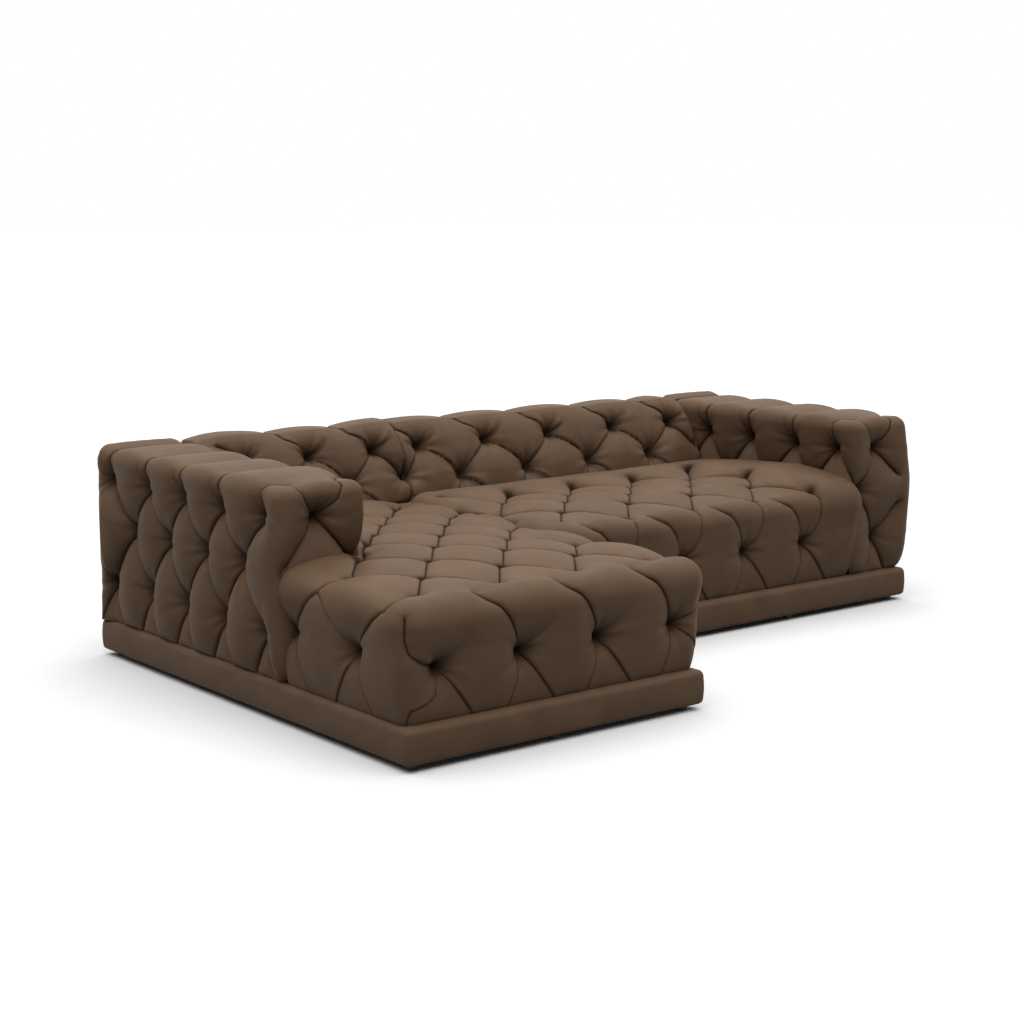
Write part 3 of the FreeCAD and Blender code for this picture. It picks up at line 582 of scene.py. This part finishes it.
def tufted_back(node, columns, half_columns, wall_at_left):
    """One back; columns hold the tufts of the odd rows, half_columns those of the even ones."""
    (x0, x1), (y0, y1), (z0, z1) = node_block(node)
    wall = x0 if wall_at_left else x1
    hidden = SEAT_TOP - HIDDEN_BELOW_SEAT

    def wall_foot(x, y, nx, ny):
        return np.full(len(x), hidden if ny == -1 else z0)

    form = PaddedForm([((x0, x1), (y0, y1))], z0, z1, BACK_ROUND, wall_foot, (SEAT_TOP, BACK_SETBACK))
    form.freedom = (0, 1, 1)
    between = (BACK_TUFT_SUNK, BACK_PLEAT_SUNK, BACK_TUFT_SUNK)
    over_edge = (BACK_TUFT_SUNK, BACK_TOP_SUNK, BACK_TOP_SUNK)
    to_seat = (BACK_TUFT_SUNK, BACK_PLEAT_SUNK, BACK_TUCK)
    half_columns = (x0,) + half_columns + (x1,)

    def beside(x, places):
        """The neighbours of x among the places, one at each side."""
        left = [q for q in places if q < x]
        right = [q for q in places if q > x]
        return left[-1:] + right[:1]

    def net(y, rows, feet, foot):
        """Staggered rows on one upright face and the pleats between them."""
        for r, z in enumerate(rows):
            places = columns if r % 2 == 0 else half_columns
            below = half_columns if r % 2 == 0 else columns
            for x in places:
                if x != wall:
                    form.tuft((x, y, z), BACK_FUNNEL, BACK_FUNNEL_REACH)
                if r + 1 < len(rows):
                    for q in beside(x, below):
                        form.pleat([(x, y, z), (q, y, rows[r + 1])], between, UP)
                elif x0 < x < x1:
                    for toe in feet:
                        form.pleat([(x, y, z), (min(max(x + toe, x0), x1), y, foot)], to_seat, UP)

    net(y0, BACK_FRONT_ROWS, BACK_FRONT_FEET, SEAT_LINE)
    net(y1, BACK_REAR_ROWS, BACK_REAR_FEET, z0)
    tucked = (BACK_TUCK, BACK_TUCK, BACK_TUCK)
    form.pleat([(x0, y0, SEAT_LINE), (x1, y0, SEAT_LINE)], tucked, UP, line_shade=0.4)
    # A pleat from each tuft of the first row over the top, and a short one at its other side
    crest = (y0 + y1) / 2
    for q in columns:
        x = beside(q, half_columns)[0]
        for y, row in ((y0, BACK_FRONT_ROWS[0]), (y1, BACK_REAR_ROWS[0])):
            over_top = [(q - left, y, row + above) for left, above in BACK_OVER_WAY]
            over_top.append((q - BACK_OVER_EDGE, y, z1))
            if q - BACK_OVER_CREST > wall + BACK_END_PLAIN or not wall_at_left:
                over_top.append((max(x, q - BACK_OVER_CREST), crest, z1))
            form.pleat(over_top, over_edge, RIGHTWARDS, BACK_FADE)
            crease = [(q + right, y, row + above) for right, above in BACK_CREASE_WAY]
            form.wrinkle(crease, BACK_CREASE, BACK_CREASE_WIDTH)
    # Gathers between the feet of the second row's pleats
    for x in half_columns[1:-1]:
        for toe in BACK_GATHER_TOES:
            way = [(x, y0, BACK_FRONT_ROWS[1]), (x + toe, y0, SEAT_LINE)]
            form.wrinkle(way, BACK_GATHER, BACK_GATHER_WIDTH)
    form.fill(BACK_FULLNESS, BACK_TOP_FULLNESS, BACK_FRONT_ROWS[1], BACK_DROP)
    near_arm = np.clip(1 - np.abs(form.points[:, 0] - wall) / BACK_END_REACH, 0, 1) ** 2
    above_seat = np.clip((form.points[:, 2] - SEAT_TOP) / (z1 - SEAT_TOP), 0, 1)
    form.points[:, 2] -= BACK_END_DROP * near_arm * above_seat
    return form


chaise_back = tufted_back(
    "chaise_back_cover", (-0.955, -0.684, -0.412), (-0.820, -0.548), wall_at_left=True)
dressed(chaise_back, "chaise_back_upholstery", "chaise_unit", 0.85, "chaise_back_cover", "chaise_back_padding")
sofa_back = tufted_back(
    "sofa_back_cover", (-0.211, 0.101, 0.411, 0.737, 1.042), (-0.055, 0.258, 0.571, 0.887), wall_at_left=False)
dressed(sofa_back, "sofa_back_upholstery", "sofa_unit", 0.85, "sofa_back_cover", "sofa_back_padding")

# Seats
# Foam on webbing under one tufted leather cover whose sides run down to the plinth. The foam stands
# higher in the middle than at the edges that show.
SEAT_ROUND = (0.050, 0.050, 0.050)
SEAT_TUFT_SUNK, SEAT_PLEAT_SUNK, SEAT_EDGE_SUNK = 0.014, 0.011, 0.003
SEAT_FUNNEL, SEAT_FUNNEL_REACH = 0.010, 0.026
SIDE_TUFT_SUNK, SIDE_PLEAT_SUNK = 0.010, 0.006
SIDE_FUNNEL, SIDE_FUNNEL_REACH = 0.042, 0.036
SEAT_FULLNESS, SEAT_SIDE_FULLNESS = 0.24, 0.14
SEAT_DOME, SEAT_DOME_REACH = 0.056, 0.22
DOME_REAR_SHARE, DOME_REAR_RUN = 0.5, 0.02   # it falls more slowly towards the back, and ends behind its foot
SEAM_LAP, BACK_LAP = 0.028, 0.070   # the seat runs on under the arms and backs
SEAT_FLAT = 0.12                # the sides take the top's fullness over this height
SLIT_JOG = 0.008                # a slit starts and ends this far beside its tufts
SLIT_SPAN = 0.75                # tufts of the next row this near, against the pitch, are neighbours
REAR_SPREAD, REAR_LENGTH = 0.4, 0.12   # pleats from the last row to the back, sideways against the pitch
SEAT_ROW_GAP = 0.165
# Pleats of the front face: across from their tuft and above it, then where they end
FRONT_UP = ((0, 0), (-0.027, 0.052), (-0.048, 0.098), (-0.082, 0.146))
FRONT_UP_EDGE, FRONT_UP_BEHIND = 0.10, 0.05
FRONT_DOWN_LEFT, FRONT_DOWN_RIGHT = 0.055, 0.115
LEFT_CORNER_UP = ((0, 0), (-0.06, 0.02), (-0.11, 0.05))
LEFT_CORNER_DOWN = ((0, 0), (-0.02, -0.075), (-0.05, -0.094), (-0.109, -0.11))
LEFT_CORNER_RISE = 0.09
RIGHT_CORNER_RISES = (0.045, -0.075)
FRONT_UP_RIGHT = ((0, 0), (0.040, 0.035), (0.068, 0.085))
FRONT_CREASE_WAY = ((0, 0), (0.10, 0.10))
FRONT_CREASE, FRONT_CREASE_WIDTH = 0.012, 0.026
SIDE_FEET = 0.095
WINDOW = (-0.0585, 0.4775)      # open stretch of the walls where the units hook together
WINDOW_TOP = 0.330


def tufted_seat(rooms, low, high, wall_foot, columns, half_columns, rows, front_columns, front_row, to_right,
                sides, edge):
    """One seat cover. Its top has columns in the odd rows and half_columns in the even ones; sides lists an outer
    side's place, tufts, their row and the pleats over its edge; edge gives the distance from the edges that show."""
    form = PaddedForm(rooms, low, high, SEAT_ROUND, wall_foot)
    front = min(room[1][0] for room in rooms)
    left, right = min(room[0][0] for room in rooms), max(room[0][1] for room in rooms)
    pitch = front_columns[1] - front_columns[0]

    def open_at(x, y):
        """Whether the seat runs here."""
        return any(r[0][0] < x < r[0][1] and r[1][0] < y < r[1][1] for r in rooms)

    between = (SEAT_TUFT_SUNK, SEAT_PLEAT_SUNK, SEAT_TUFT_SUNK)
    soft_between = (SEAT_TUFT_SUNK, SEAT_PLEAT_SUNK * 0.7, SEAT_TUFT_SUNK)
    to_edge = (SEAT_TUFT_SUNK, SEAT_PLEAT_SUNK * 0.5, SEAT_EDGE_SUNK)
    down_face = (SIDE_TUFT_SUNK, SIDE_PLEAT_SUNK, SEAT_EDGE_SUNK)
    to_foot = (SIDE_TUFT_SUNK, SIDE_PLEAT_SUNK, BOTTOM_TUCK)
    for r, y in enumerate(rows):
        for x in (columns if r % 2 == 0 else half_columns):
            if not open_at(x, y):
                continue
            form.tuft((x, y, high), SEAT_FUNNEL, SEAT_FUNNEL_REACH)
            if r + 1 < len(rows):
                for q in (half_columns if r % 2 == 0 else columns):
                    if abs(q - x) < SLIT_SPAN * pitch and open_at(q, rows[r + 1]):
                        if q > x:
                            way = [(x + SLIT_JOG, y, high), (q - SLIT_JOG, rows[r + 1], high)]
                            form.pleat(way, between, LEFTWARDS, line_shade=1.0)
                        else:
                            way = [(x, y, high), (q, rows[r + 1], high)]
                            form.pleat(way, soft_between, BACKWARDS, line_shade=0.0)
        if r + 1 == len(rows):
            for x in (columns if r % 2 == 0 else half_columns):
                for side in (-1, 1):
                    end_x, end_y = x + side * REAR_SPREAD * pitch, y + REAR_LENGTH
                    if open_at(end_x, end_y):
                        way = [(x, y, high), (end_x, end_y, high)]
                        form.pleat(way, between, BACKWARDS, line_shade=0.8 if side > 0 else 0.0)
    # Front face: a pleat from each tuft up over the edge, two down to the plinth, and on the sofa's seat one more up
    # to the first row; on the chaise a soft crease in its place
    for x in front_columns:
        start = (x, front, front_row)

        def face(way):
            return [(x + across, front, front_row + above) for across, above in way]

        form.tuft(start, SIDE_FUNNEL, SIDE_FUNNEL_REACH)
        if x - pitch / 2 < left:
            up = face(LEFT_CORNER_UP) + [(left, front, front_row + LEFT_CORNER_RISE), (left, front, high)]
            down = face(LEFT_CORNER_DOWN) + [(left, front, low)]
        else:
            up = face(FRONT_UP)
            up += [(x - FRONT_UP_EDGE, front, high), (x - pitch / 2, front + FRONT_UP_BEHIND, high)]
            down = [start, (x - FRONT_DOWN_LEFT, front, low)]
        form.pleat(up, down_face, UP, line_shade=0.15 if to_right else 0.8)
        form.pleat(down, to_foot, UP)
        if x + pitch / 2 > right:
            for rise in RIGHT_CORNER_RISES:
                form.pleat([start, (right, front, front_row + rise)], down_face, UP)
        else:
            form.pleat([start, (x + FRONT_DOWN_RIGHT, front, low)], to_foot, UP)
            if to_right:
                seat_x = min(q for q in columns if q > x)
                way = face(FRONT_UP_RIGHT) + [(seat_x, front, high), (seat_x, rows[0], high)]
                form.pleat(way, down_face, UP, line_shade=0.7)
            else:
                form.wrinkle(face(FRONT_CREASE_WAY), FRONT_CREASE, FRONT_CREASE_WIDTH)
    for x, places, row, crests in sides:
        for y, upper in places:
            form.tuft((x, y, row), SIDE_FUNNEL, SIDE_FUNNEL_REACH)
            for crest in upper:
                form.pleat([(x, y, row), (x, crest, high)], down_face, UP, line_shade=0.5)
            for side in (-1, 1):
                form.pleat([(x, y, row), (x, y + side * SIDE_FEET, low)], to_foot, UP)
        for y, seat_tuft in crests:
            form.pleat([seat_tuft, (x, y, high)], to_edge, BACKWARDS, line_shade=0.5)
    from_edge = edge(form.points[:, 0], form.points[:, 1])
    on_top = np.clip(form.normals[:, 2], 0, 1)
    form.fill(SEAT_SIDE_FULLNESS, SEAT_FULLNESS, high - SEAT_FLAT)
    form.points[:, 2] += SEAT_DOME * on_top * (1 - np.exp(-np.maximum(from_edge, 0) / SEAT_DOME_REACH))
    return form


(cx0, cx1), (cy0, cy1), (cz0, cz1) = node_block("chaise_seat_cover")
arm_x1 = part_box("left_arm_cover")[1].x
arm_y0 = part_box("left_arm_cover")[0].y


def chaise_wall_foot(x, y, nx, ny):
    """How far down the walls reach: short behind the arm and back, and open where the units hook together."""
    hidden = ((nx == -1) & (y > arm_y0 + SEAM_LAP)) | ((ny == 1) & (x > arm_x1 - SEAM_LAP))
    hidden |= (nx == 1) & (y > WINDOW[1])
    window = (nx == 1) & (y > WINDOW[0]) & (y < WINDOW[1])
    return np.where(hidden, cz1 - HIDDEN_BELOW_SEAT, np.where(window, WINDOW_TOP, cz0))


def chaise_edge(x, y):
    """Distance from the edges that show, and from the back."""
    from_left = np.where(y < arm_y0, x - cx0, 1.0)
    from_back = DOME_REAR_SHARE * (cy1 + DOME_REAR_RUN - y)
    return np.minimum(np.minimum(np.minimum(from_left, cx1 - x), y - cy0), from_back)


CHAISE_COLUMNS = (-1.304, -1.018, -0.732, -0.446)
CHAISE_HALF = (-1.161, -0.875, -0.589)
CHAISE_FIRST_ROW, SOFA_FIRST_ROW = 0.114, 0.063   # behind the front
CHAISE_ROWS = [cy0 + CHAISE_FIRST_ROW + SEAT_ROW_GAP * k for k in range(9)]
CHAISE_FRONT = (-1.297, -1.003, -0.711, -0.420)
CHAISE_FRONT_ROW, CHAISE_SIDE_ROW, SOFA_FRONT_ROW = 0.276, 0.292, 0.278
SIDE_CRESTS = (-0.7745, -0.4400, -0.1100)
SEAM_CREST = 0.11
side_tufts = [(-0.6265, SIDE_CRESTS[:2]), (-0.3005, SIDE_CRESTS[1:])]
left_crests = [(SIDE_CRESTS[k], (CHAISE_COLUMNS[0], CHAISE_ROWS[2 * k], cz1)) for k in range(2)]
right_crests = [(SIDE_CRESTS[k], (CHAISE_COLUMNS[-1], CHAISE_ROWS[2 * k], cz1)) for k in range(2)]
for row in CHAISE_ROWS[4::2]:
    right_crests += [(row + side * SEAM_CREST, (CHAISE_COLUMNS[-1], row, cz1)) for side in (-1, 1)]
chaise_seat = tufted_seat(
    [((cx0, cx1), (cy0, arm_y0 + SEAM_LAP)), ((arm_x1 - SEAM_LAP, cx1), (cy0, cy1 + BACK_LAP))],
    cz0, cz1, chaise_wall_foot, CHAISE_COLUMNS, CHAISE_HALF, CHAISE_ROWS, CHAISE_FRONT, CHAISE_FRONT_ROW, False,
    [(cx0, side_tufts, CHAISE_SIDE_ROW, left_crests), (cx1, side_tufts, CHAISE_SIDE_ROW, right_crests)],
    chaise_edge)
dressed(chaise_seat, "chaise_seat_upholstery", "chaise_unit", 0.9, "chaise_seat_cover", "chaise_seat_foam")

(sx0, sx1), (sy0, sy1), (sz0, sz1) = node_block("sofa_seat_cover")


def sofa_wall_foot(x, y, nx, ny):
    """As on the chaise; the wall at the right arm isn't cut short."""
    window = (nx == -1) & (y > WINDOW[0]) & (y < WINDOW[1])
    return np.where(ny == 1, sz1 - HIDDEN_BELOW_SEAT, np.where(window, WINDOW_TOP, sz0))


def sofa_edge(x, y):
    """Distance from the seam with the chaise and from the front, and from the back."""
    return np.minimum(np.minimum(x - sx0, y - sy0), DOME_REAR_SHARE * (sy1 + DOME_REAR_RUN - y))


SOFA_COLUMNS = (-0.246, 0.058, 0.362, 0.666, 0.970)
SOFA_HALF = (-0.094, 0.210, 0.514, 0.818)
SOFA_ROWS = [sy0 + SOFA_FIRST_ROW + SEAT_ROW_GAP * k for k in range(5)]
SOFA_FRONT = (-0.021, 0.283, 0.587, 0.891)
seam_crests = [(SOFA_ROWS[row], (SOFA_COLUMNS[0], SOFA_ROWS[2], sz1)) for row in (1, 3)]
sofa_seat = tufted_seat(
    [((sx0, sx1 + SEAM_LAP), (sy0, sy1 + BACK_LAP))], sz0, sz1, sofa_wall_foot,
    SOFA_COLUMNS, SOFA_HALF, SOFA_ROWS, SOFA_FRONT, SOFA_FRONT_ROW, True,
    [(sx0, [], SOFA_FRONT_ROW, seam_crests)], sofa_edge)
dressed(sofa_seat, "sofa_seat_upholstery", "sofa_unit", 0.9, "sofa_seat_cover", "sofa_seat_foam")

# Plinths
# A plain band of leather over thin foam round the timber plinth of each unit. It is turned in at the foot, drawn
# over the top and stapled under the covers.
PLINTH_ROUND_TOP, PLINTH_ROUND_BOTTOM, PLINTH_CORNER = 0.022, 0.015, 0.016
PLINTH_LAP, PLINTH_UNDERLAP = 0.060, 0.022
PLINTH_BULGE, PLINTH_WAVE = 0.0022, 0.0007   # the padding swells a little and is not dead straight
CORNER_POINTS, SIDE_POINTS = 9, 40
SMALLEST_CORNER = 0.0004


def plinth_profile(z0, z1):
    """The band's section from under the board, up the face and over the top: inset from the face, height."""
    low, high = z0 + PLINTH_ROUND_BOTTOM, z1 - PLINTH_ROUND_TOP
    profile = [(PLINTH_UNDERLAP, z0)]
    for i in range(7):
        turn = math.radians(90 * i / 6)
        profile.append((PLINTH_ROUND_BOTTOM * (1 - math.sin(turn)), z0 + PLINTH_ROUND_BOTTOM * (1 - math.cos(turn))))
    for share in (1 / 6, 2 / 6, 3 / 6, 4 / 6, 5 / 6):
        profile.append((-PLINTH_BULGE * math.sin(math.pi * share), low + (high - low) * share))
    for i in range(9):
        turn = math.radians(90 * i / 8)
        profile.append((PLINTH_ROUND_TOP * (1 - math.cos(turn)), z1 - PLINTH_ROUND_TOP * (1 - math.sin(turn))))
    return profile + [(PLINTH_LAP / 2, z1 + 0.0006), (PLINTH_LAP, z1 + 0.0012)]


def plinth_band(name, node):
    """The band of one unit: the profile carried round the four corners, with points along the sides."""
    (x0, x1), (y0, y1), (z0, z1) = node_block(node)
    corners = ((x1, y0, 1, -1, -90), (x1, y1, 1, 1, 0), (x0, y1, -1, 1, 90), (x0, y0, -1, -1, 180))
    points, faces = [], []
    for inset, z in plinth_profile(z0, z1):
        radius = max(PLINTH_CORNER - inset, SMALLEST_CORNER)
        ring = []
        for x, y, sign_x, sign_y, start in corners:
            centre_x, centre_y = x - sign_x * (inset + radius), y - sign_y * (inset + radius)
            for i in range(CORNER_POINTS):
                turn = math.radians(start + 90 * i / (CORNER_POINTS - 1))
                ring.append((centre_x + radius * math.cos(turn), centre_y + radius * math.sin(turn)))
        for i, (x, y) in enumerate(ring):
            x2, y2 = ring[(i + 1) % len(ring)]
            steps = SIDE_POINTS if i % CORNER_POINTS == CORNER_POINTS - 1 else 1
            long = math.hypot(y2 - y, x - x2) or 1
            for step in range(steps):
                t = step / steps
                px, py = x + (x2 - x) * t, y + (y2 - y) * t
                ease = math.sin(math.pi * t) if steps > 1 else 0
                wave = PLINTH_WAVE * ease * math.sin(31 * px + 27 * py + 40 * z)
                points.append((px + wave * (y2 - y) / long, py + wave * (x - x2) / long, z))
    around = 4 * (CORNER_POINTS - 1 + SIDE_POINTS)
    for start in range(0, len(points) - around, around):
        for i in range(around):
            j = (i + 1) % around
            faces.append((start + i, start + j, start + around + j, start + around + i))
    mesh = bpy.data.meshes.new(name)
    mesh.from_pydata(points, [], faces)
    mesh.polygons.foreach_set("use_smooth", np.ones(len(faces), bool))
    mesh.materials.append(brown_leather)
    piece = bpy.data.objects.new(name, mesh)
    bpy.context.scene.collection.objects.link(piece)
    return piece


for unit in ("chaise", "sofa"):
    band = plinth_band(unit + "_plinth_band", unit + "_plinth_wrap")
    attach(band, unit + "_unit")
    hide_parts(unit + "_plinth_wrap")

# Timber
# Rails, posts, cleats, plinth boards and corner blocks are sawn softwood, glued and stapled. The panels of
# arms and backs are thin plywood.
def timber(name, dark, light, rings, grain_depth):
    """Sawn wood with growth rings and a rough face."""
    made, nodes, links, shader, place = blank(name)
    shader["Roughness"].default_value = 0.72
    ring = add(nodes, "TexWave", Scale=rings, Distortion=6.0, Detail=3.0)
    links.new(place, ring.inputs["Vector"])
    tone = nodes.new("ShaderNodeValToRGB")
    tone.color_ramp.elements[0].color = (*dark, 1)
    tone.color_ramp.elements[1].color = (*light, 1)
    links.new(ring.outputs["Fac"], tone.inputs["Fac"])
    links.new(tone.outputs["Color"], shader["Base Color"])
    fibre = add(nodes, "TexNoise", Scale=240.0)
    links.new(place, fibre.inputs["Vector"])
    rough = add(nodes, "Bump", Strength=0.4, Distance=grain_depth)
    links.new(fibre.outputs["Fac"], rough.inputs["Height"])
    links.new(rough.outputs["Normal"], shader["Normal"])
    return made


def made_of(material, *endings):
    """Gives a material to the frame's pieces with these names' endings."""
    for node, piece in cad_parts.items():
        if node.endswith(endings):
            piece.data.materials.clear()
            piece.data.materials.append(material)


softwood = timber("softwood", (0.42, 0.27, 0.13), (0.62, 0.44, 0.24), 9.0, 0.0008)
made_of(softwood, "posts", "cleats", "base_rails", "plinth_boards", "plinth_top_plates", "connector_blocks")
made_of(timber("plywood", (0.36, 0.23, 0.11), (0.52, 0.36, 0.20), 5.0, 0.0004), "panels")

# Seat springing
# Elastic webbing stapled across and along the rails carries the seat. A needled felt lies over it and keeps
# the foam from being pressed through.
def cloth(name, dark, light, threads, depth, roughness):
    """Woven or needled cloth: crossing threads and a soft face."""
    made, nodes, links, shader, place = blank(name)
    shader["Roughness"].default_value = roughness
    weave = add(nodes, "TexChecker", Scale=threads, Color1=(*dark, 1), Color2=(*light, 1))
    links.new(place, weave.inputs["Vector"])
    links.new(weave.outputs["Color"], shader["Base Color"])
    fluff = add(nodes, "TexNoise", Scale=threads * 0.7, Detail=4.0)
    links.new(place, fluff.inputs["Vector"])
    nap = add(nodes, "Bump", Strength=0.5, Distance=depth)
    links.new(fluff.outputs["Fac"], nap.inputs["Height"])
    links.new(nap.outputs["Normal"], shader["Normal"])
    return made


made_of(cloth("webbing", (0.015, 0.015, 0.016), (0.05, 0.05, 0.052), 400.0, 0.0006, 0.85), "webbing")
made_of(cloth("felt", (0.20, 0.19, 0.17), (0.27, 0.26, 0.24), 150.0, 0.0012, 0.95), "seat_felt")

# Underside
# Black dust cloth stapled under each unit closes it from below. Moulded nylon glides are nailed to the plinth's
# boards and stand on the floor.
made_of(cloth("dust_cloth", (0.012, 0.012, 0.012), (0.022, 0.022, 0.023), 600.0, 0.0004, 0.9), "bottom_cloth")
made_of(cloth("nylon", (0.012, 0.012, 0.013), (0.016, 0.016, 0.017), 900.0, 0.0002, 0.45), "glides")

# Connectors
# Pressed steel hooks and sockets, zinc plated, screwed to blocks inside the walls where the units meet; the
# plinths' screws have the same finish.
zinc, nodes, links, shader, place = blank("zinc_plate")
shader["Metallic"].default_value = 1.0
spangle = add(nodes, "TexVoronoi", Scale=160.0)
links.new(place, spangle.inputs["Vector"])
tone = nodes.new("ShaderNodeValToRGB")
tone.color_ramp.elements[0].color = (0.42, 0.44, 0.46, 1)
tone.color_ramp.elements[1].color = (0.60, 0.61, 0.62, 1)
links.new(spangle.outputs["Distance"], tone.inputs["Fac"])
links.new(tone.outputs["Color"], shader["Base Color"])
dull = add(nodes, "MapRange", To_Min=0.32, To_Max=0.48)
links.new(spangle.outputs["Distance"], dull.inputs["Value"])
links.new(dull.outputs["Result"], shader["Roughness"])
made_of(zinc, "sockets", "hooks", "screws")

# Floor and light
# A plain pale studio floor that keeps the sofa's shadow, and one wide soft lamp overhead. The lens and polished
# pieces see the floor and the room as white; the sofa is lit by less.
FLOOR_HALF = 60.0
FLOOR_LIT, FLOOR_SEEN = (0.22, 0.22, 0.22, 1), (0.82, 0.82, 0.82, 1)
ROOM_LIT, ROOM_SEEN = 0.14, 1.0
LAMP_POWER, LAMP_SPREAD_DEG = 4.0, 100


def shows_background(nodes, links):
    """1 for rays from the camera and for those that metal or glass throws back, 0 for those that light the sofa."""
    rays = nodes.new("ShaderNodeLightPath")
    total = rays.outputs["Is Camera Ray"]
    for ray in ("Is Glossy Ray", "Is Transmission Ray"):
        either = nodes.new("ShaderNodeMath")
        either.operation = "MAXIMUM"
        links.new(total, either.inputs[0])
        links.new(rays.outputs[ray], either.inputs[1])
        total = either.outputs["Value"]
    return total


floor_mesh = bpy.data.meshes.new("floor")
floor_corners = [(x * FLOOR_HALF, y * FLOOR_HALF, 0) for x, y in ((-1, -1), (1, -1), (1, 1), (-1, 1))]
floor_mesh.from_pydata(floor_corners, [], [(0, 1, 2, 3)])
floor = bpy.data.objects.new("floor", floor_mesh)
bpy.context.scene.collection.objects.link(floor)
pale_floor, nodes, links, shader, _ = blank("pale_floor")
shader["Roughness"].default_value = 1.0
shader["Specular IOR Level"].default_value = 0.0
seen = nodes.new("ShaderNodeMix")
seen.data_type = "RGBA"
seen.inputs["A"].default_value = FLOOR_LIT
seen.inputs["B"].default_value = FLOOR_SEEN
links.new(shows_background(nodes, links), seen.inputs["Factor"])
links.new(seen.outputs["Result"], shader["Base Color"])
floor_mesh.materials.append(pale_floor)

world = bpy.data.worlds.new("studio")
bpy.context.scene.world = world
world.use_nodes = True
nodes, links = world.node_tree.nodes, world.node_tree.links
background = nodes["Background"]
background.inputs["Color"].default_value = (1, 1, 1, 1)
level = add(nodes, "MapRange", To_Min=ROOM_LIT, To_Max=ROOM_SEEN)
links.new(shows_background(nodes, links), level.inputs["Value"])
links.new(level.outputs["Result"], background.inputs["Strength"])

lamp_data = bpy.data.lights.new("overhead", "SUN")
lamp_data.energy = LAMP_POWER
lamp_data.angle = math.radians(LAMP_SPREAD_DEG)
lamp = bpy.data.objects.new("overhead", lamp_data)
lamp.location = (0, 0, 4)
bpy.context.scene.collection.objects.link(lamp)

bpy.context.scene.view_settings.view_transform = "Standard"
